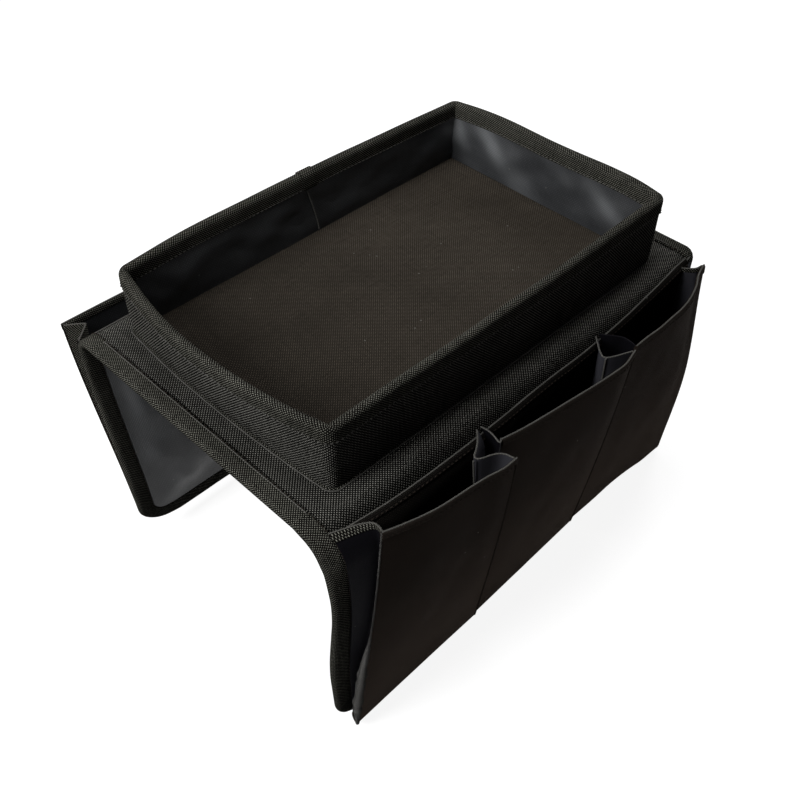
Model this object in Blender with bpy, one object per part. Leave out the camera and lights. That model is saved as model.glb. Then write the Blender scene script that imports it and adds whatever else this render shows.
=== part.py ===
"""Sofa armrest organizer: a padded cloth saddle with an open tray on top and pocketed flaps.

X runs across the arm, with the three-pocket flap at +X. Y runs along the arm, front at -Y.
Z is up. The origin is the centre of the top panel's lining, where it lies on the arm.
"""

import math
from dataclasses import dataclass

import bmesh
import bpy
import numpy as np

# Cloth, padding and clearances
COVER = 0.001
PADDING = 0.002
LINING = 0.001
POCKET_CLOTH = 0.0009
TAPE = 0.0008
GAP = 0.0003

# Top panel and flaps
PANEL_LENGTH = 0.362
PANEL_FLAT_WIDTH = 0.194
FOLD_STRIP = 0.016
FLAP_CORNER = 0.022
BINDING_WIDTH = 0.012

# Tray
TRAY_END_MARGIN = 0.031
TRAY_SIDE_MARGIN = 0.0015
TRAY_HEIGHT = 0.0495
TRAY_CORNER = 0.008
WALL_BOARD = 0.002
FLOOR_BOARD = 0.002
FLOOR_CLOTH = 0.001
RIM_TAPE_WIDTH = 0.011
PIPING_DIAMETER = 0.0024

# Pockets
BACKING_TOP = 0.024
FRONT_FOOT_LIFT = 0.0035
HEM_WIDTH = 0.004
HEM_TAPE = 0.0005
SEAM_SPACING = 0.0035
PLEAT_DEPTH = 0.011
PLEAT_TURN = 0.0018
PLEAT_EASE = 0.0005
CURL_EASE = 0.0006
PLEAT_FOLD_SHARE = 0.55
PLEAT_TURN_SHARE = 0.4
PLEAT_CURL_SHARES = (0.4, 0.2, 0)

# Facets
SHEET_COLUMNS = 8
FOLD_ROWS = 4
ARC_ROWS = 6
HANG_ROWS = 8
POCKET_ROWS = 9
BEND_ROWS = 4
POCKET_COLUMNS = 6
CURL_ROWS = 4
CORNER_STEPS = 6
CORD_SIDES = 8


@dataclass(frozen=True)
class Pocket:
    """How one pocket's front hangs, each value at its front end and at its back end.

    mouth and foot are how far it stands off the flap at its top edge and above its seam, drop
    how far it hangs below its seam, belly how much it swells halfway up, and draw how far the
    corner of the mouth is drawn in from the side seam.
    """

    mouth_front: float
    mouth_back: float
    foot_front: float
    foot_back: float
    drop_front: float
    drop_back: float
    belly_front: float
    belly_back: float
    draw_front: float
    draw_back: float


@dataclass(frozen=True)
class Flap:
    """One side's fold, hang and pockets. Front and back differ because the cloth hangs unevenly."""

    side: str
    sign: int
    cloth: float
    run_front: float
    run_back: float
    radius_front: float
    radius_back: float
    sway_front: float
    sway_back: float
    pivot_out: float
    pivot_drop: float
    strip_front: float
    strip_back: float
    mouth_drop: float
    flare: float
    rounded_ends: bool
    pockets: tuple


RIGHT_FIRST = Pocket(
    mouth_front=0.007,
    mouth_back=0.0215,
    foot_front=0.005,
    foot_back=0.008,
    drop_front=0.008,
    drop_back=0.002,
    belly_front=0.006,
    belly_back=0.001,
    draw_front=0.014,
    draw_back=0.002,
)
RIGHT_MIDDLE = Pocket(
    mouth_front=0.010,
    mouth_back=0.023,
    foot_front=0.008,
    foot_back=0.009,
    drop_front=0.002,
    drop_back=0.002,
    belly_front=0.001,
    belly_back=0.001,
    draw_front=0.001,
    draw_back=0.0005,
)
RIGHT_LAST = Pocket(
    mouth_front=0.014,
    mouth_back=0.0095,
    foot_front=0.009,
    foot_back=0.013,
    drop_front=0.002,
    drop_back=0.004,
    belly_front=0.001,
    belly_back=0.004,
    draw_front=0.003,
    draw_back=0.0045,
)
RIGHT = Flap(
    side="right",
    sign=1,
    cloth=0.206,
    run_front=0.0096,
    run_back=0.0085,
    radius_front=0.022,
    radius_back=0.009,
    sway_front=0.005,
    sway_back=0.001,
    pivot_out=0.017,
    pivot_drop=0.010,
    strip_front=0.009,
    strip_back=0.005,
    mouth_drop=0.0005,
    flare=0.9,
    rounded_ends=False,
    pockets=(RIGHT_FIRST, RIGHT_MIDDLE, RIGHT_LAST),
)
LEFT_FIRST = Pocket(
    mouth_front=0.0185,
    mouth_back=0.019,
    foot_front=0.004,
    foot_back=0.005,
    drop_front=0.0015,
    drop_back=0.002,
    belly_front=0.002,
    belly_back=0.003,
    draw_front=0.0005,
    draw_back=0.003,
)
LEFT_LAST = Pocket(
    mouth_front=0.018,
    mouth_back=0.014,
    foot_front=0.005,
    foot_back=0.004,
    drop_front=0.002,
    drop_back=0.0015,
    belly_front=0.003,
    belly_back=0.002,
    draw_front=0.003,
    draw_back=0.004,
)
LEFT = Flap(
    side="left",
    sign=-1,
    cloth=0.1938,
    run_front=0.0070,
    run_back=0.0070,
    radius_front=0.012,
    radius_back=0.012,
    sway_front=0.022,
    sway_back=0.018,
    pivot_out=0.010,
    pivot_drop=0.008,
    strip_front=0.0008,
    strip_back=0.015,
    mouth_drop=0.005,
    flare=1.6,
    rounded_ends=True,
    pockets=(LEFT_FIRST, LEFT_LAST),
)

# Colours, as linear base colours
WOVEN_BLACK = (0.028, 0.027, 0.027)
COATED_GREY = (0.060, 0.060, 0.064)
TAPE_BLACK = (0.034, 0.035, 0.033)
POCKET_BLACK = (0.020, 0.019, 0.019)
FOAM_WHITE = (0.60, 0.60, 0.58)
BOARD_WHITE = (0.55, 0.55, 0.53)
CLOTH_ROUGHNESS = 0.85
COATED_ROUGHNESS = 0.55

# Values that follow from the ones above
BOUND_STACK = COVER + GAP + PADDING
CLOTH_STACK = BOUND_STACK + GAP + LINING
TOP = CLOTH_STACK
HALF_FLAT = PANEL_FLAT_WIDTH / 2
HALF_LENGTH = PANEL_LENGTH / 2
WRAP = GAP + TAPE
SHEET_HALF = HALF_LENGTH - WRAP
BINDING_LEG = BINDING_WIDTH - WRAP
LINING_EDGE = BINDING_LEG + GAP
TRAY_LENGTH = PANEL_LENGTH - 2 * TRAY_END_MARGIN
TRAY_WIDTH = PANEL_FLAT_WIDTH - 2 * TRAY_SIDE_MARGIN
WALL = COVER + GAP + WALL_BOARD + GAP + LINING
BACKING_OUT = GAP + POCKET_CLOTH
SEAT_OUT = BACKING_OUT + GAP
FRONT_OUT = SEAT_OUT + POCKET_CLOTH


def clear_scene():
    for old in list(bpy.data.objects):
        bpy.data.objects.remove(old, do_unlink=True)


def cloth_material(name, colour, roughness):
    material = bpy.data.materials.new(name)
    material.use_nodes = True
    shader = material.node_tree.nodes["Principled BSDF"]
    shader.inputs["Base Color"].default_value = (*colour, 1)
    shader.inputs["Roughness"].default_value = roughness
    shader.inputs["Metallic"].default_value = 0
    material.diffuse_color = (*colour, 1)
    return material


def mix(front, back, y):
    """The value at y of what goes evenly from front to back along the arm."""
    share = (np.asarray(y) + HALF_LENGTH) / PANEL_LENGTH
    return front + (back - front) * share


def ease(share):
    """0 to 1 with a level start and end, as hanging cloth sways."""
    share = np.clip(share, 0, 1)
    return share * share * (3 - 2 * share)


def bent(flap, along, y, depth):
    """Points of the cloth that runs off the top panel, bends over the arm's edge and hangs.

    along is the way along the cloth from the flat panel's edge, and depth the way in from
    the cover's outer face, square to it. The bend is an arc. Below it the cloth sways inward.
    """
    along, y, depth = np.broadcast_arrays(along, y, depth)
    run = mix(flap.run_front, flap.run_back, y)
    radius = mix(flap.radius_front, flap.radius_back, y)
    arc = radius * math.pi / 2
    angle = np.clip((along - run) / radius, 0, math.pi / 2)
    hang = np.clip(along - run - arc, 0, None)
    length = flap.cloth - run - arc
    share = hang / length
    sway = mix(flap.sway_front, flap.sway_back, y)
    out = HALF_FLAT + np.minimum(along, run) + radius * np.sin(angle) - sway * ease(share)
    up = TOP - radius * (1 - np.cos(angle)) - hang
    inside = np.clip(share, 0, 1)
    slope = sway * 6 * inside * (1 - inside) / length
    tilt = np.where(hang > 0, np.arctan(slope), 0)
    out = out - depth * np.sin(angle) * np.cos(tilt)
    up = up - depth * (np.cos(angle) - np.sin(tilt))
    return np.stack([flap.sign * out, y, up], axis=-1)


def flat(x, y, depth):
    """Points of the top panel, depth down from the cover's upper face."""
    x, y, depth = np.broadcast_arrays(x, y, depth)
    return np.stack([x, y, TOP - depth], axis=-1)


def foot_height(flap, y):
    """Height of the flap's lower edge."""
    run = mix(flap.run_front, flap.run_back, y)
    radius = mix(flap.radius_front, flap.radius_back, y)
    return TOP - radius - (flap.cloth - run - radius * math.pi / 2)


def wall_out(flap, y, height, off, straight=False):
    """How far out the hanging cloth's face is at a height, off it by so much.

    straight leaves out the bend at the top, as for a pocket front, which stands clear of it.
    """
    run = mix(flap.run_front, flap.run_back, y)
    radius = mix(flap.radius_front, flap.radius_back, y)
    centre = TOP - radius
    share = (centre - height) / (centre - foot_height(flap, y))
    sway = mix(flap.sway_front, flap.sway_back, y)
    hanging = HALF_FLAT + run + radius + off - sway * ease(share)
    if straight:
        return hanging
    rise = np.clip(height - centre, 0, radius)
    bend = HALF_FLAT + run + np.sqrt((radius + off) ** 2 - rise**2)
    return np.where(height > centre, bend, hanging)


def solid(name, points, faces, material, parent=None, at=(0, 0, 0)):
    """A closed mesh object with its faces turned outward, its origin at the pivot it hangs on."""
    mesh = bpy.data.meshes.new(name)
    local = np.asarray(points, float).reshape(-1, 3) - np.asarray(at, float)
    mesh.from_pydata([tuple(p) for p in local], [], faces)
    shape = bmesh.new()
    shape.from_mesh(mesh)
    bmesh.ops.recalc_face_normals(shape, faces=shape.faces)
    shape.to_mesh(mesh)
    shape.free()
    mesh.shade_smooth()
    mesh.set_sharp_from_angle(angle=math.radians(40))
    mesh.materials.append(material)
    made = bpy.data.objects.new(name, mesh)
    bpy.context.scene.collection.objects.link(made)
    made.parent = parent
    return made


def slab(near, far):
    """Points and faces of the closed solid between two grids of points of the same size."""
    rows, columns = near.shape[:2]
    count = rows * columns
    index = np.arange(count).reshape(rows, columns)
    faces = []
    for r in range(rows - 1):
        for c in range(columns - 1):
            quad = (index[r, c], index[r, c + 1], index[r + 1, c + 1], index[r + 1, c])
            faces.append(tuple(int(i) for i in quad))
            faces.append(tuple(int(i) + count for i in reversed(quad)))
    rim = [*index[0], *index[1:, -1], *index[-1, -2::-1], *index[-2:0:-1, 0]]
    for a, b in zip(rim, rim[1:] + rim[:1]):
        faces.append((int(b), int(a), int(a) + count, int(b) + count))
    return np.concatenate([near.reshape(-1, 3), far.reshape(-1, 3)]), faces


def sweep(stations, closed):
    """Points and faces of a closed profile carried along stations, an array station by point."""
    count, sides = stations.shape[:2]
    faces = []
    for s in range(count if closed else count - 1):
        here, there = s * sides, (s + 1) % count * sides
        for p in range(sides):
            q = (p + 1) % sides
            faces.append((here + p, here + q, there + q, there + p))
    if not closed:
        faces.append(tuple(range(sides)))
        faces.append(tuple(reversed(range((count - 1) * sides, count * sides))))
    return stations.reshape(-1, 3), faces


def edge_profile(stack, leg, tape=TAPE):
    """A tape folded round a cloth edge: how far in from the edge, and depth, point by point."""
    wrap = GAP + tape
    inset = [leg, -wrap, -wrap, leg, leg, -GAP, -GAP, leg]
    depth = [-wrap, -wrap, stack + wrap, stack + wrap, stack + GAP, stack + GAP, -GAP, -GAP]
    return np.array(inset), np.array(depth)


def rounded_loop(half_x, half_y, radius):
    """Points round a rectangle with rounded corners, and the way out at each."""
    turns, ways = [], []
    for corner in range(4):
        for step in range(CORNER_STEPS + 1):
            angle = (corner + step / CORNER_STEPS) * math.pi / 2
            way = (math.cos(angle), math.sin(angle))
            side_x = 1 if corner in (0, 3) else -1
            side_y = 1 if corner in (0, 1) else -1
            centre = (side_x * (half_x - radius), side_y * (half_y - radius))
            turns.append((centre[0] + radius * way[0], centre[1] + radius * way[1]))
            ways.append(way)
    return np.array(turns), np.array(ways)


def add_loop(name, material, loop, inset, height):
    """A profile of insets and heights carried round a rounded loop."""
    turns, ways = loop
    ring = turns[:, None, :] - ways[:, None, :] * np.asarray(inset)[None, :, None]
    heights = np.broadcast_to(np.asarray(height)[None, :, None], (*ring.shape[:2], 1))
    return solid(name, *sweep(np.concatenate([ring, heights], axis=2), True), material)


def add_plate(name, material, turns, low, high):
    """A flat plate with the outline turns."""
    count = len(turns)
    points = [(x, y, z) for z in (low, high) for x, y in turns]
    faces = [tuple(range(count)), tuple(range(2 * count - 1, count - 1, -1))]
    for a in range(count):
        b = (a + 1) % count
        faces.append((a, b, b + count, a + count))
    return solid(name, points, faces, material)


def add_box(name, material, low, high):
    corners = [(low[0], low[1]), (high[0], low[1]), (high[0], high[1]), (low[0], high[1])]
    return add_plate(name, material, corners, low[2], high[2])


def build_top_panel(looks):
    """Cover, padding and lining of the top panel, and the bindings of its two short ends.

    The binding's lower leg lies beside the lining, so that the lining is what rests on the arm.
    """
    layers = (
        ("top_cover", "woven", 0, COVER, 0),
        ("top_padding", "foam", COVER + GAP, BOUND_STACK, 0),
        ("top_lining", "coated", CLOTH_STACK - LINING, CLOTH_STACK, LINING_EDGE),
    )
    half_x = HALF_FLAT - GAP / 2
    for name, look, outer, inner, short in layers:
        half_y = SHEET_HALF - short
        low = (-half_x, -half_y, TOP - inner)
        add_box(name, looks[look], low, (half_x, half_y, TOP - outer))
    inset, depth = edge_profile(BOUND_STACK, BINDING_LEG)
    ends = np.array([-half_x, half_x])
    for name, side in (("front_binding", -1), ("back_binding", 1)):
        y = side * (SHEET_HALF - inset)
        stations = flat(ends[:, None], y[None, :], depth[None, :])
        solid(name, *sweep(stations, False), looks["tape"])


def build_tray(looks):
    """Four stiff walls between an outer band and a lining band, on a stiff floor."""
    base = TOP + GAP
    rim = TOP + TRAY_HEIGHT
    edge = rim - GAP - TAPE
    half_x, half_y = TRAY_WIDTH / 2, TRAY_LENGTH / 2
    loop = rounded_loop(half_x, half_y, TRAY_CORNER)
    band = [base, base, edge, edge]
    add_loop("tray_outer_band", looks["woven"], loop, [0, COVER, COVER, 0], band)
    lining = [WALL - LINING, WALL, WALL, WALL - LINING]
    add_loop("tray_lining_band", looks["coated"], loop, lining, band)
    inset, depth = edge_profile(WALL, RIM_TAPE_WIDTH)
    add_loop("tray_rim_binding", looks["tape"], loop, depth, edge - inset)
    spokes = np.arange(CORD_SIDES) * 2 * math.pi / CORD_SIDES
    bead = PIPING_DIAMETER / 2
    out = -(GAP + bead + bead * np.cos(spokes))
    add_loop("tray_base_piping", looks["tape"], loop, out, base + bead + bead * np.sin(spokes))
    build_tray_boards(looks, half_x, half_y, base, edge)


def build_tray_boards(looks, half_x, half_y, base, edge):
    """The wall stiffeners along the straight stretches, and the floor's stiffener and cloth."""
    outer = COVER + GAP
    inner = outer + WALL_BOARD
    span_x, span_y = half_x - TRAY_CORNER, half_y - TRAY_CORNER
    for name, side in (("tray_front_board", -1), ("tray_back_board", 1)):
        ys = sorted((side * (half_y - outer), side * (half_y - inner)))
        add_box(name, looks["board"], (-span_x, ys[0], base), (span_x, ys[1], edge))
    for name, side in (("tray_left_board", -1), ("tray_right_board", 1)):
        xs = sorted((side * (half_x - outer), side * (half_x - inner)))
        add_box(name, looks["board"], (xs[0], -span_y, base), (xs[1], span_y, edge))
    inside = WALL + GAP
    turns = rounded_loop(half_x - inside, half_y - inside, TRAY_CORNER - WALL)[0]
    add_plate("tray_floor_board", looks["board"], turns, base, base + FLOOR_BOARD)
    cloth = base + FLOOR_BOARD + GAP
    add_plate("tray_floor_cloth", looks["woven"], turns, cloth, cloth + FLOOR_CLOTH)


def flap_rows(flap):
    """Places along the cloth for a flap's rows: close on the bend, wider on the hang."""
    bend_end = max(flap.run_front, flap.run_back) + flap.radius_front * math.pi / 2
    start = FOLD_STRIP + GAP
    end = flap.cloth - WRAP
    bend = np.linspace(start, bend_end, ARC_ROWS)
    return np.concatenate([bend, np.linspace(bend_end, end, HANG_ROWS + 1)[1:]])


def round_off(along, half, corner, end):
    """Half the sheet's width at places along it, drawn in round the corners at its end."""
    left = np.clip(corner - (end - along), 0, corner)
    return half - corner + np.sqrt(corner**2 - left**2)


def close_rows(rows, corner, end):
    """The rows with more of them round the corner, where the width changes fast."""
    steps = np.arange(CORNER_STEPS) / CORNER_STEPS * math.pi / 2
    arc = end - corner * (1 - np.sin(steps))
    return np.concatenate([rows[rows < end - corner], arc, [end]])


def add_flap_sheet(flap, name, material, outer, inner, short, pivot):
    """One layer of a flap, which ends so much short of the binding's inside."""
    end = flap.cloth - WRAP - short
    corner = FLAP_CORNER - WRAP - short
    rows = close_rows(flap_rows(flap), corner, end)[:, None]
    across = np.linspace(-1, 1, SHEET_COLUMNS + 1)[None, :]
    y = across * round_off(rows, SHEET_HALF - short, corner, end)
    near, far = bent(flap, rows, y, outer), bent(flap, rows, y, inner)
    return solid(name, *slab(near, far), material, *pivot)


def build_flap(flap, looks, pivot):
    """Cover, padding and lining of one flap, and the binding round its three free edges."""
    layers = (
        ("cover", "woven", 0, COVER, 0),
        ("padding", "foam", COVER + GAP, BOUND_STACK, 0),
        ("lining", "coated", CLOTH_STACK - LINING, CLOTH_STACK, LINING_EDGE),
    )
    for part, look, outer, inner, short in layers:
        add_flap_sheet(flap, f"{flap.side}_flap_{part}", looks[look], outer, inner, short, pivot)
    places, ways = binding_route(flap)
    inset, depth = edge_profile(BOUND_STACK, BINDING_LEG)
    reach = places[:, None, :] + ways[:, None, :] * inset[None, :, None]
    stations = bent(flap, reach[..., 0], reach[..., 1], depth[None, :])
    solid(f"{flap.side}_flap_binding", *sweep(stations, False), looks["tape"], *pivot)


def binding_route(flap):
    """Places (along, y) round a flap's free edges, and the way into the sheet at each."""
    corner = FLAP_CORNER - WRAP
    end = flap.cloth - WRAP
    rows = flap_rows(flap)
    down = rows[rows < end - corner]
    turn = np.arange(CORNER_STEPS + 1) / CORNER_STEPS * math.pi / 2
    across = np.linspace(corner - SHEET_HALF, SHEET_HALF - corner, SHEET_COLUMNS + 1)[1:-1]
    places = [(s, -SHEET_HALF) for s in down]
    ways = [(0, 1) for _ in down]
    for angle in turn:
        way = (-math.sin(angle), math.cos(angle))
        places.append((end - corner - corner * way[0], corner - SHEET_HALF - corner * way[1]))
        ways.append(way)
    places += [(end, y) for y in across]
    ways += [(-1, 0) for _ in across]
    mirrored = [(s, -y) for s, y in places[: len(down) + len(turn)][::-1]]
    turned = [(a, -b) for a, b in ways[: len(down) + len(turn)][::-1]]
    return np.array(places + mirrored), np.array(ways + turned)


def build_fold(flap, looks):
    """The strips of cover and lining that bend between top panel and flap, and their bindings."""
    rows = np.linspace(GAP / 2, FOLD_STRIP, FOLD_ROWS + 1)
    across = np.linspace(-1, 1, SHEET_COLUMNS + 1)[None, :]
    layers = (
        ("cover", "woven", 0, COVER, 0),
        ("lining", "coated", CLOTH_STACK - LINING, CLOTH_STACK, LINING_EDGE),
    )
    for part, look, outer, inner, short in layers:
        y = across * (SHEET_HALF - short)
        near, far = bent(flap, rows[:, None], y, outer), bent(flap, rows[:, None], y, inner)
        solid(f"{flap.side}_fold_{part}", *slab(near, far), looks[look])
    inset, depth = edge_profile(BOUND_STACK, BINDING_LEG)
    for end, side in (("front", -1), ("back", 1)):
        y = side * (SHEET_HALF - inset)
        stations = bent(flap, rows[:, None], y[None, :], depth[None, :])
        name = f"{flap.side}_fold_{end}_binding"
        solid(name, *sweep(stations, False), looks["tape"])


def strip_ends(flap):
    """Front and back end of the strip of pockets."""
    return flap.strip_front - HALF_LENGTH, HALF_LENGTH - flap.strip_back


def build_backing(flap, looks, pivot):
    """The cloth that the pockets are sewn on, and the tape on its upper edge."""
    end = flap.cloth - BINDING_WIDTH - GAP
    corner = FLAP_CORNER - BINDING_WIDTH - GAP
    straight = HALF_LENGTH - BINDING_WIDTH - GAP
    front, back = strip_ends(flap)
    rows = flap_rows(flap)
    rows = np.concatenate([[BACKING_TOP], rows[rows > BACKING_TOP]])
    rows = close_rows(rows, corner, end)[:, None]
    half = round_off(rows, straight, corner, end)
    low, high = np.maximum(front, -half), np.minimum(back, half)
    across = np.linspace(0, 1, SHEET_COLUMNS + 1)[None, :]
    y = low + (high - low) * across
    near, far = bent(flap, rows, y, -BACKING_OUT), bent(flap, rows, y, -GAP)
    name = f"{flap.side}_pocket_backing"
    solid(name, *slab(near, far), looks["pocket"], *pivot)
    rows = np.array([BACKING_TOP - GAP - HEM_WIDTH, BACKING_TOP - GAP])[:, None]
    low, high = max(front, -straight), min(back, straight)
    y = low + (high - low) * across
    near, far = bent(flap, rows, y, -BACKING_OUT - HEM_TAPE), bent(flap, rows, y, -GAP)
    solid(f"{flap.side}_backing_hem", *slab(near, far), looks["tape"], *pivot)


def pocket_spans(flap):
    """Front and back end of each pocket's share of the strip."""
    ends = np.linspace(*strip_ends(flap), len(flap.pockets) + 1)
    return [(float(a), float(b)) for a, b in zip(ends, ends[1:])]


def between(front, back, share):
    """A value that goes evenly from a pocket's front end to its back end."""
    return front + (back - front) * share


def pocket_opening(flap, pocket, share, rise):
    """How far a pocket's front stands off its seam's plane at a share of its height."""
    foot = between(pocket.foot_front, pocket.foot_back, share)
    mouth = between(pocket.mouth_front, pocket.mouth_back, share)
    belly = between(pocket.belly_front, pocket.belly_back, share)
    return foot + (mouth - foot) * rise**flap.flare + belly * np.sin(math.pi * rise)


def front_foot(flap, span):
    return float(foot_height(flap, (span[0] + span[1]) / 2)) + FRONT_FOOT_LIFT


def front_edge(flap):
    """Height of the cut edge of a pocket's front, inside its hem tape."""
    return TOP - flap.mouth_drop - GAP - HEM_TAPE


def front_heights(flap, span):
    """Heights of the rows of a pocket's front, the last two below and above its hem tape."""
    bend = TOP - max(flap.radius_front, flap.radius_back)
    edge = front_edge(flap)
    hang = np.linspace(front_foot(flap, span), bend, POCKET_ROWS)
    beside = np.linspace(bend, edge - HEM_WIDTH - GAP, BEND_ROWS + 1)[1:]
    return np.concatenate([hang, beside, [edge]])


def rise_share(flap, span, height):
    foot = front_foot(flap, span)
    return np.clip((height - foot) / (TOP - flap.mouth_drop - foot), 0, 1)


def side_seams(flap, span, height):
    """Where a pocket's two sides are sewn down. Rounded ends follow the flap's lower corners."""
    low, high = span[0] + SEAM_SPACING / 2, span[1] - SEAM_SPACING / 2
    if not flap.rounded_ends:
        return np.full_like(height, low), np.full_like(height, high)
    left = np.clip(FLAP_CORNER - (height - foot_height(flap, low)), 0, FLAP_CORNER)
    half = HALF_LENGTH - FLAP_CORNER + np.sqrt(FLAP_CORNER**2 - left**2)
    return np.maximum(low, -half), np.minimum(high, half)


def front_edges(flap, span, pocket, height):
    """Front and back edge of a pocket's front, drawn in more and more towards the mouth."""
    rise = rise_share(flap, span, height)
    low, high = side_seams(flap, span, height)
    return low + pocket.draw_front * rise, high - pocket.draw_back * rise


def front_point(flap, span, pocket, share, height, turn, thick):
    """Points of a pocket's front: share 0 to 1 along it, and thick out from its inside.

    From the seam the cloth curls down and out as turn goes from -pi to 0, at the foot's height,
    and then stands up to the mouth.
    """
    rise = rise_share(flap, span, height)
    low, high = front_edges(flap, span, pocket, height)
    y = low + (high - low) * share
    foot = between(pocket.foot_front, pocket.foot_back, share)
    drop = between(pocket.drop_front, pocket.drop_back, share)
    out = wall_out(flap, y, height, FRONT_OUT, True) + pocket_opening(flap, pocket, share, rise)
    out = out - foot * (1 - np.cos(turn)) / 2 + thick * np.cos(turn)
    up = height + (drop + thick) * np.sin(turn)
    out, y, up = np.broadcast_arrays(out, y, up)
    return np.stack([flap.sign * out, y, up], axis=-1)


def add_front(flap, number, span, pocket, looks, pivot):
    """One pocket's front and the hem tape on its mouth."""
    upper = front_heights(flap, span)
    curl = np.linspace(-math.pi, 0, CURL_ROWS + 1)[:-1]
    heights = np.concatenate([np.full_like(curl, upper[0]), upper])[:, None]
    turns = np.concatenate([curl, np.zeros_like(upper)])[:, None]
    across = np.linspace(0, 1, POCKET_COLUMNS + 1)
    near = front_point(flap, span, pocket, across[None, :], heights, turns, POCKET_CLOTH)
    far = front_point(flap, span, pocket, across[None, :], heights, turns, 0)
    name = f"{flap.side}_pocket_{number}"
    solid(f"{name}_front", *slab(near, far), looks["pocket"], *pivot)
    inset, depth = edge_profile(POCKET_CLOTH, HEM_WIDTH, HEM_TAPE)
    heights = front_edge(flap) - inset[None, :]
    thick = POCKET_CLOTH - depth[None, :]
    stations = front_point(flap, span, pocket, across[:, None], heights, 0, thick)
    solid(f"{name}_hem", *sweep(stations, False), looks["tape"], *pivot)


def thicken(line, half):
    """Both sides of a folded strip whose rows of points (y, out) are its centre line."""
    legs = np.diff(line, axis=1)
    legs = legs / np.linalg.norm(legs, axis=2, keepdims=True)
    square = np.stack([-legs[..., 1], legs[..., 0]], axis=-1)
    before = np.concatenate([square[:, :1], square], axis=1)
    after = np.concatenate([square, square[:, -1:]], axis=1)
    miter = before + after
    aside = miter * (2 * half / np.sum(miter * miter, axis=2, keepdims=True))
    return line + aside, line - aside


def pleat_line(flap, span, pocket, end, height, turn):
    """A pleat's centre line, row by row: from its seam in to the fold, and out to the front."""
    way = 1 if end == 0 else -1
    rise = rise_share(flap, span, height)
    edges = front_edges(flap, span, pocket, height)
    edge = edges[end] + way * POCKET_CLOTH
    seam = side_seams(flap, span, height)[end]
    fold = way * np.maximum(way * edge, way * seam) + way * PLEAT_DEPTH * rise
    share = (edge - edges[0]) / (edges[1] - edges[0])
    inside = wall_out(flap, edge, height, FRONT_OUT, True)
    half = POCKET_CLOTH / 2
    at_wall = wall_out(flap, seam, height, SEAT_OUT + PLEAT_EASE + half)
    at_front = inside + pocket_opening(flap, pocket, share, rise) - GAP - half
    depth = between(pocket.foot_front, pocket.foot_back, share) / 2
    middle = inside + depth
    reach = (depth - CURL_EASE) * np.cos(turn)
    curled = rise == 0
    at_wall = np.where(curled, middle - reach, at_wall)
    at_front = np.where(curled, middle + reach, at_front)
    wide = at_front - at_wall
    blunt = np.minimum(PLEAT_TURN, wide * PLEAT_TURN_SHARE) / 2
    middle = at_wall + wide * PLEAT_FOLD_SHARE
    out = np.stack([at_wall, middle - blunt, middle + blunt, at_front], axis=1)
    along = np.stack([np.where(curled, edge, seam), fold, fold, edge], axis=1)
    return np.stack([along, out], axis=-1)


def add_pleat(flap, name, span, pocket, end, looks, pivot):
    """The folded side of a pocket, which also closes the end of the curl at its foot."""
    upper = front_heights(flap, span)[:-1]
    curl = -math.pi * np.array(PLEAT_CURL_SHARES)
    height = np.concatenate([np.full_like(curl, upper[0]), upper[1:]])
    turn = np.concatenate([curl, np.zeros_like(upper[1:])])
    drop = (pocket.drop_front, pocket.drop_back)[end]
    up = height + (drop - CURL_EASE) * np.sin(turn)
    sides = []
    for side in thicken(pleat_line(flap, span, pocket, end, height, turn), POCKET_CLOTH / 2):
        rows = np.broadcast_to(up[:, None], side.shape[:2])
        sides.append(np.stack([flap.sign * side[..., 1], side[..., 0], rows], axis=-1))
    solid(name, *slab(*sides), looks["pocket"], *pivot)


def build_pockets(flap, looks, flap_empty, flap_pivot):
    """Each pocket's front turns on an empty at its bottom seam."""
    build_backing(flap, looks, (flap_empty, flap_pivot))
    hung = (flap_empty, flap_pivot)
    for number, (span, pocket) in enumerate(zip(pocket_spans(flap), flap.pockets), 1):
        name = f"{flap.side}_pocket_{number}"
        pivot = pocket_pivot(flap, span)
        empty = pivot_empty(f"{name}_seam", pivot, *hung)
        add_front(flap, number, span, pocket, looks, (empty, pivot))
        for end, side in enumerate(("front", "back")):
            add_pleat(flap, f"{name}_{side}_pleat", span, pocket, end, looks, hung)


def pocket_pivot(flap, span):
    """The middle of a pocket's bottom seam."""
    y = (span[0] + span[1]) / 2
    foot = front_foot(flap, span)
    out = float(wall_out(flap, y, foot, SEAT_OUT + POCKET_CLOTH / 2, True))
    return (flap.sign * out, y, foot)


def fold_pivot(flap):
    """The middle of the line that a flap folds about."""
    return (flap.sign * (HALF_FLAT + flap.pivot_out), 0, TOP - flap.pivot_drop)


def pivot_empty(name, at, parent=None, parent_at=(0, 0, 0)):
    empty = bpy.data.objects.new(name, None)
    empty.location = [a - b for a, b in zip(at, parent_at)]
    empty.empty_display_size = BINDING_WIDTH
    empty.parent = parent
    bpy.context.scene.collection.objects.link(empty)
    return empty


def build_side(flap, looks):
    build_fold(flap, looks)
    pivot = fold_pivot(flap)
    empty = pivot_empty(f"{flap.side}_fold_line", pivot)
    build_flap(flap, looks, (empty, pivot))
    build_pockets(flap, looks, empty, pivot)


def main():
    clear_scene()
    looks = {
        "woven": cloth_material("woven_black", WOVEN_BLACK, CLOTH_ROUGHNESS),
        "coated": cloth_material("coated_grey", COATED_GREY, COATED_ROUGHNESS),
        "tape": cloth_material("edge_tape", TAPE_BLACK, CLOTH_ROUGHNESS),
        "pocket": cloth_material("pocket_cloth", POCKET_BLACK, CLOTH_ROUGHNESS),
        "foam": cloth_material("foam_padding", FOAM_WHITE, CLOTH_ROUGHNESS),
        "board": cloth_material("stiffener_board", BOARD_WHITE, COATED_ROUGHNESS),
    }
    build_top_panel(looks)
    build_tray(looks)
    build_side(RIGHT, looks)
    build_side(LEFT, looks)


main()
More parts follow.
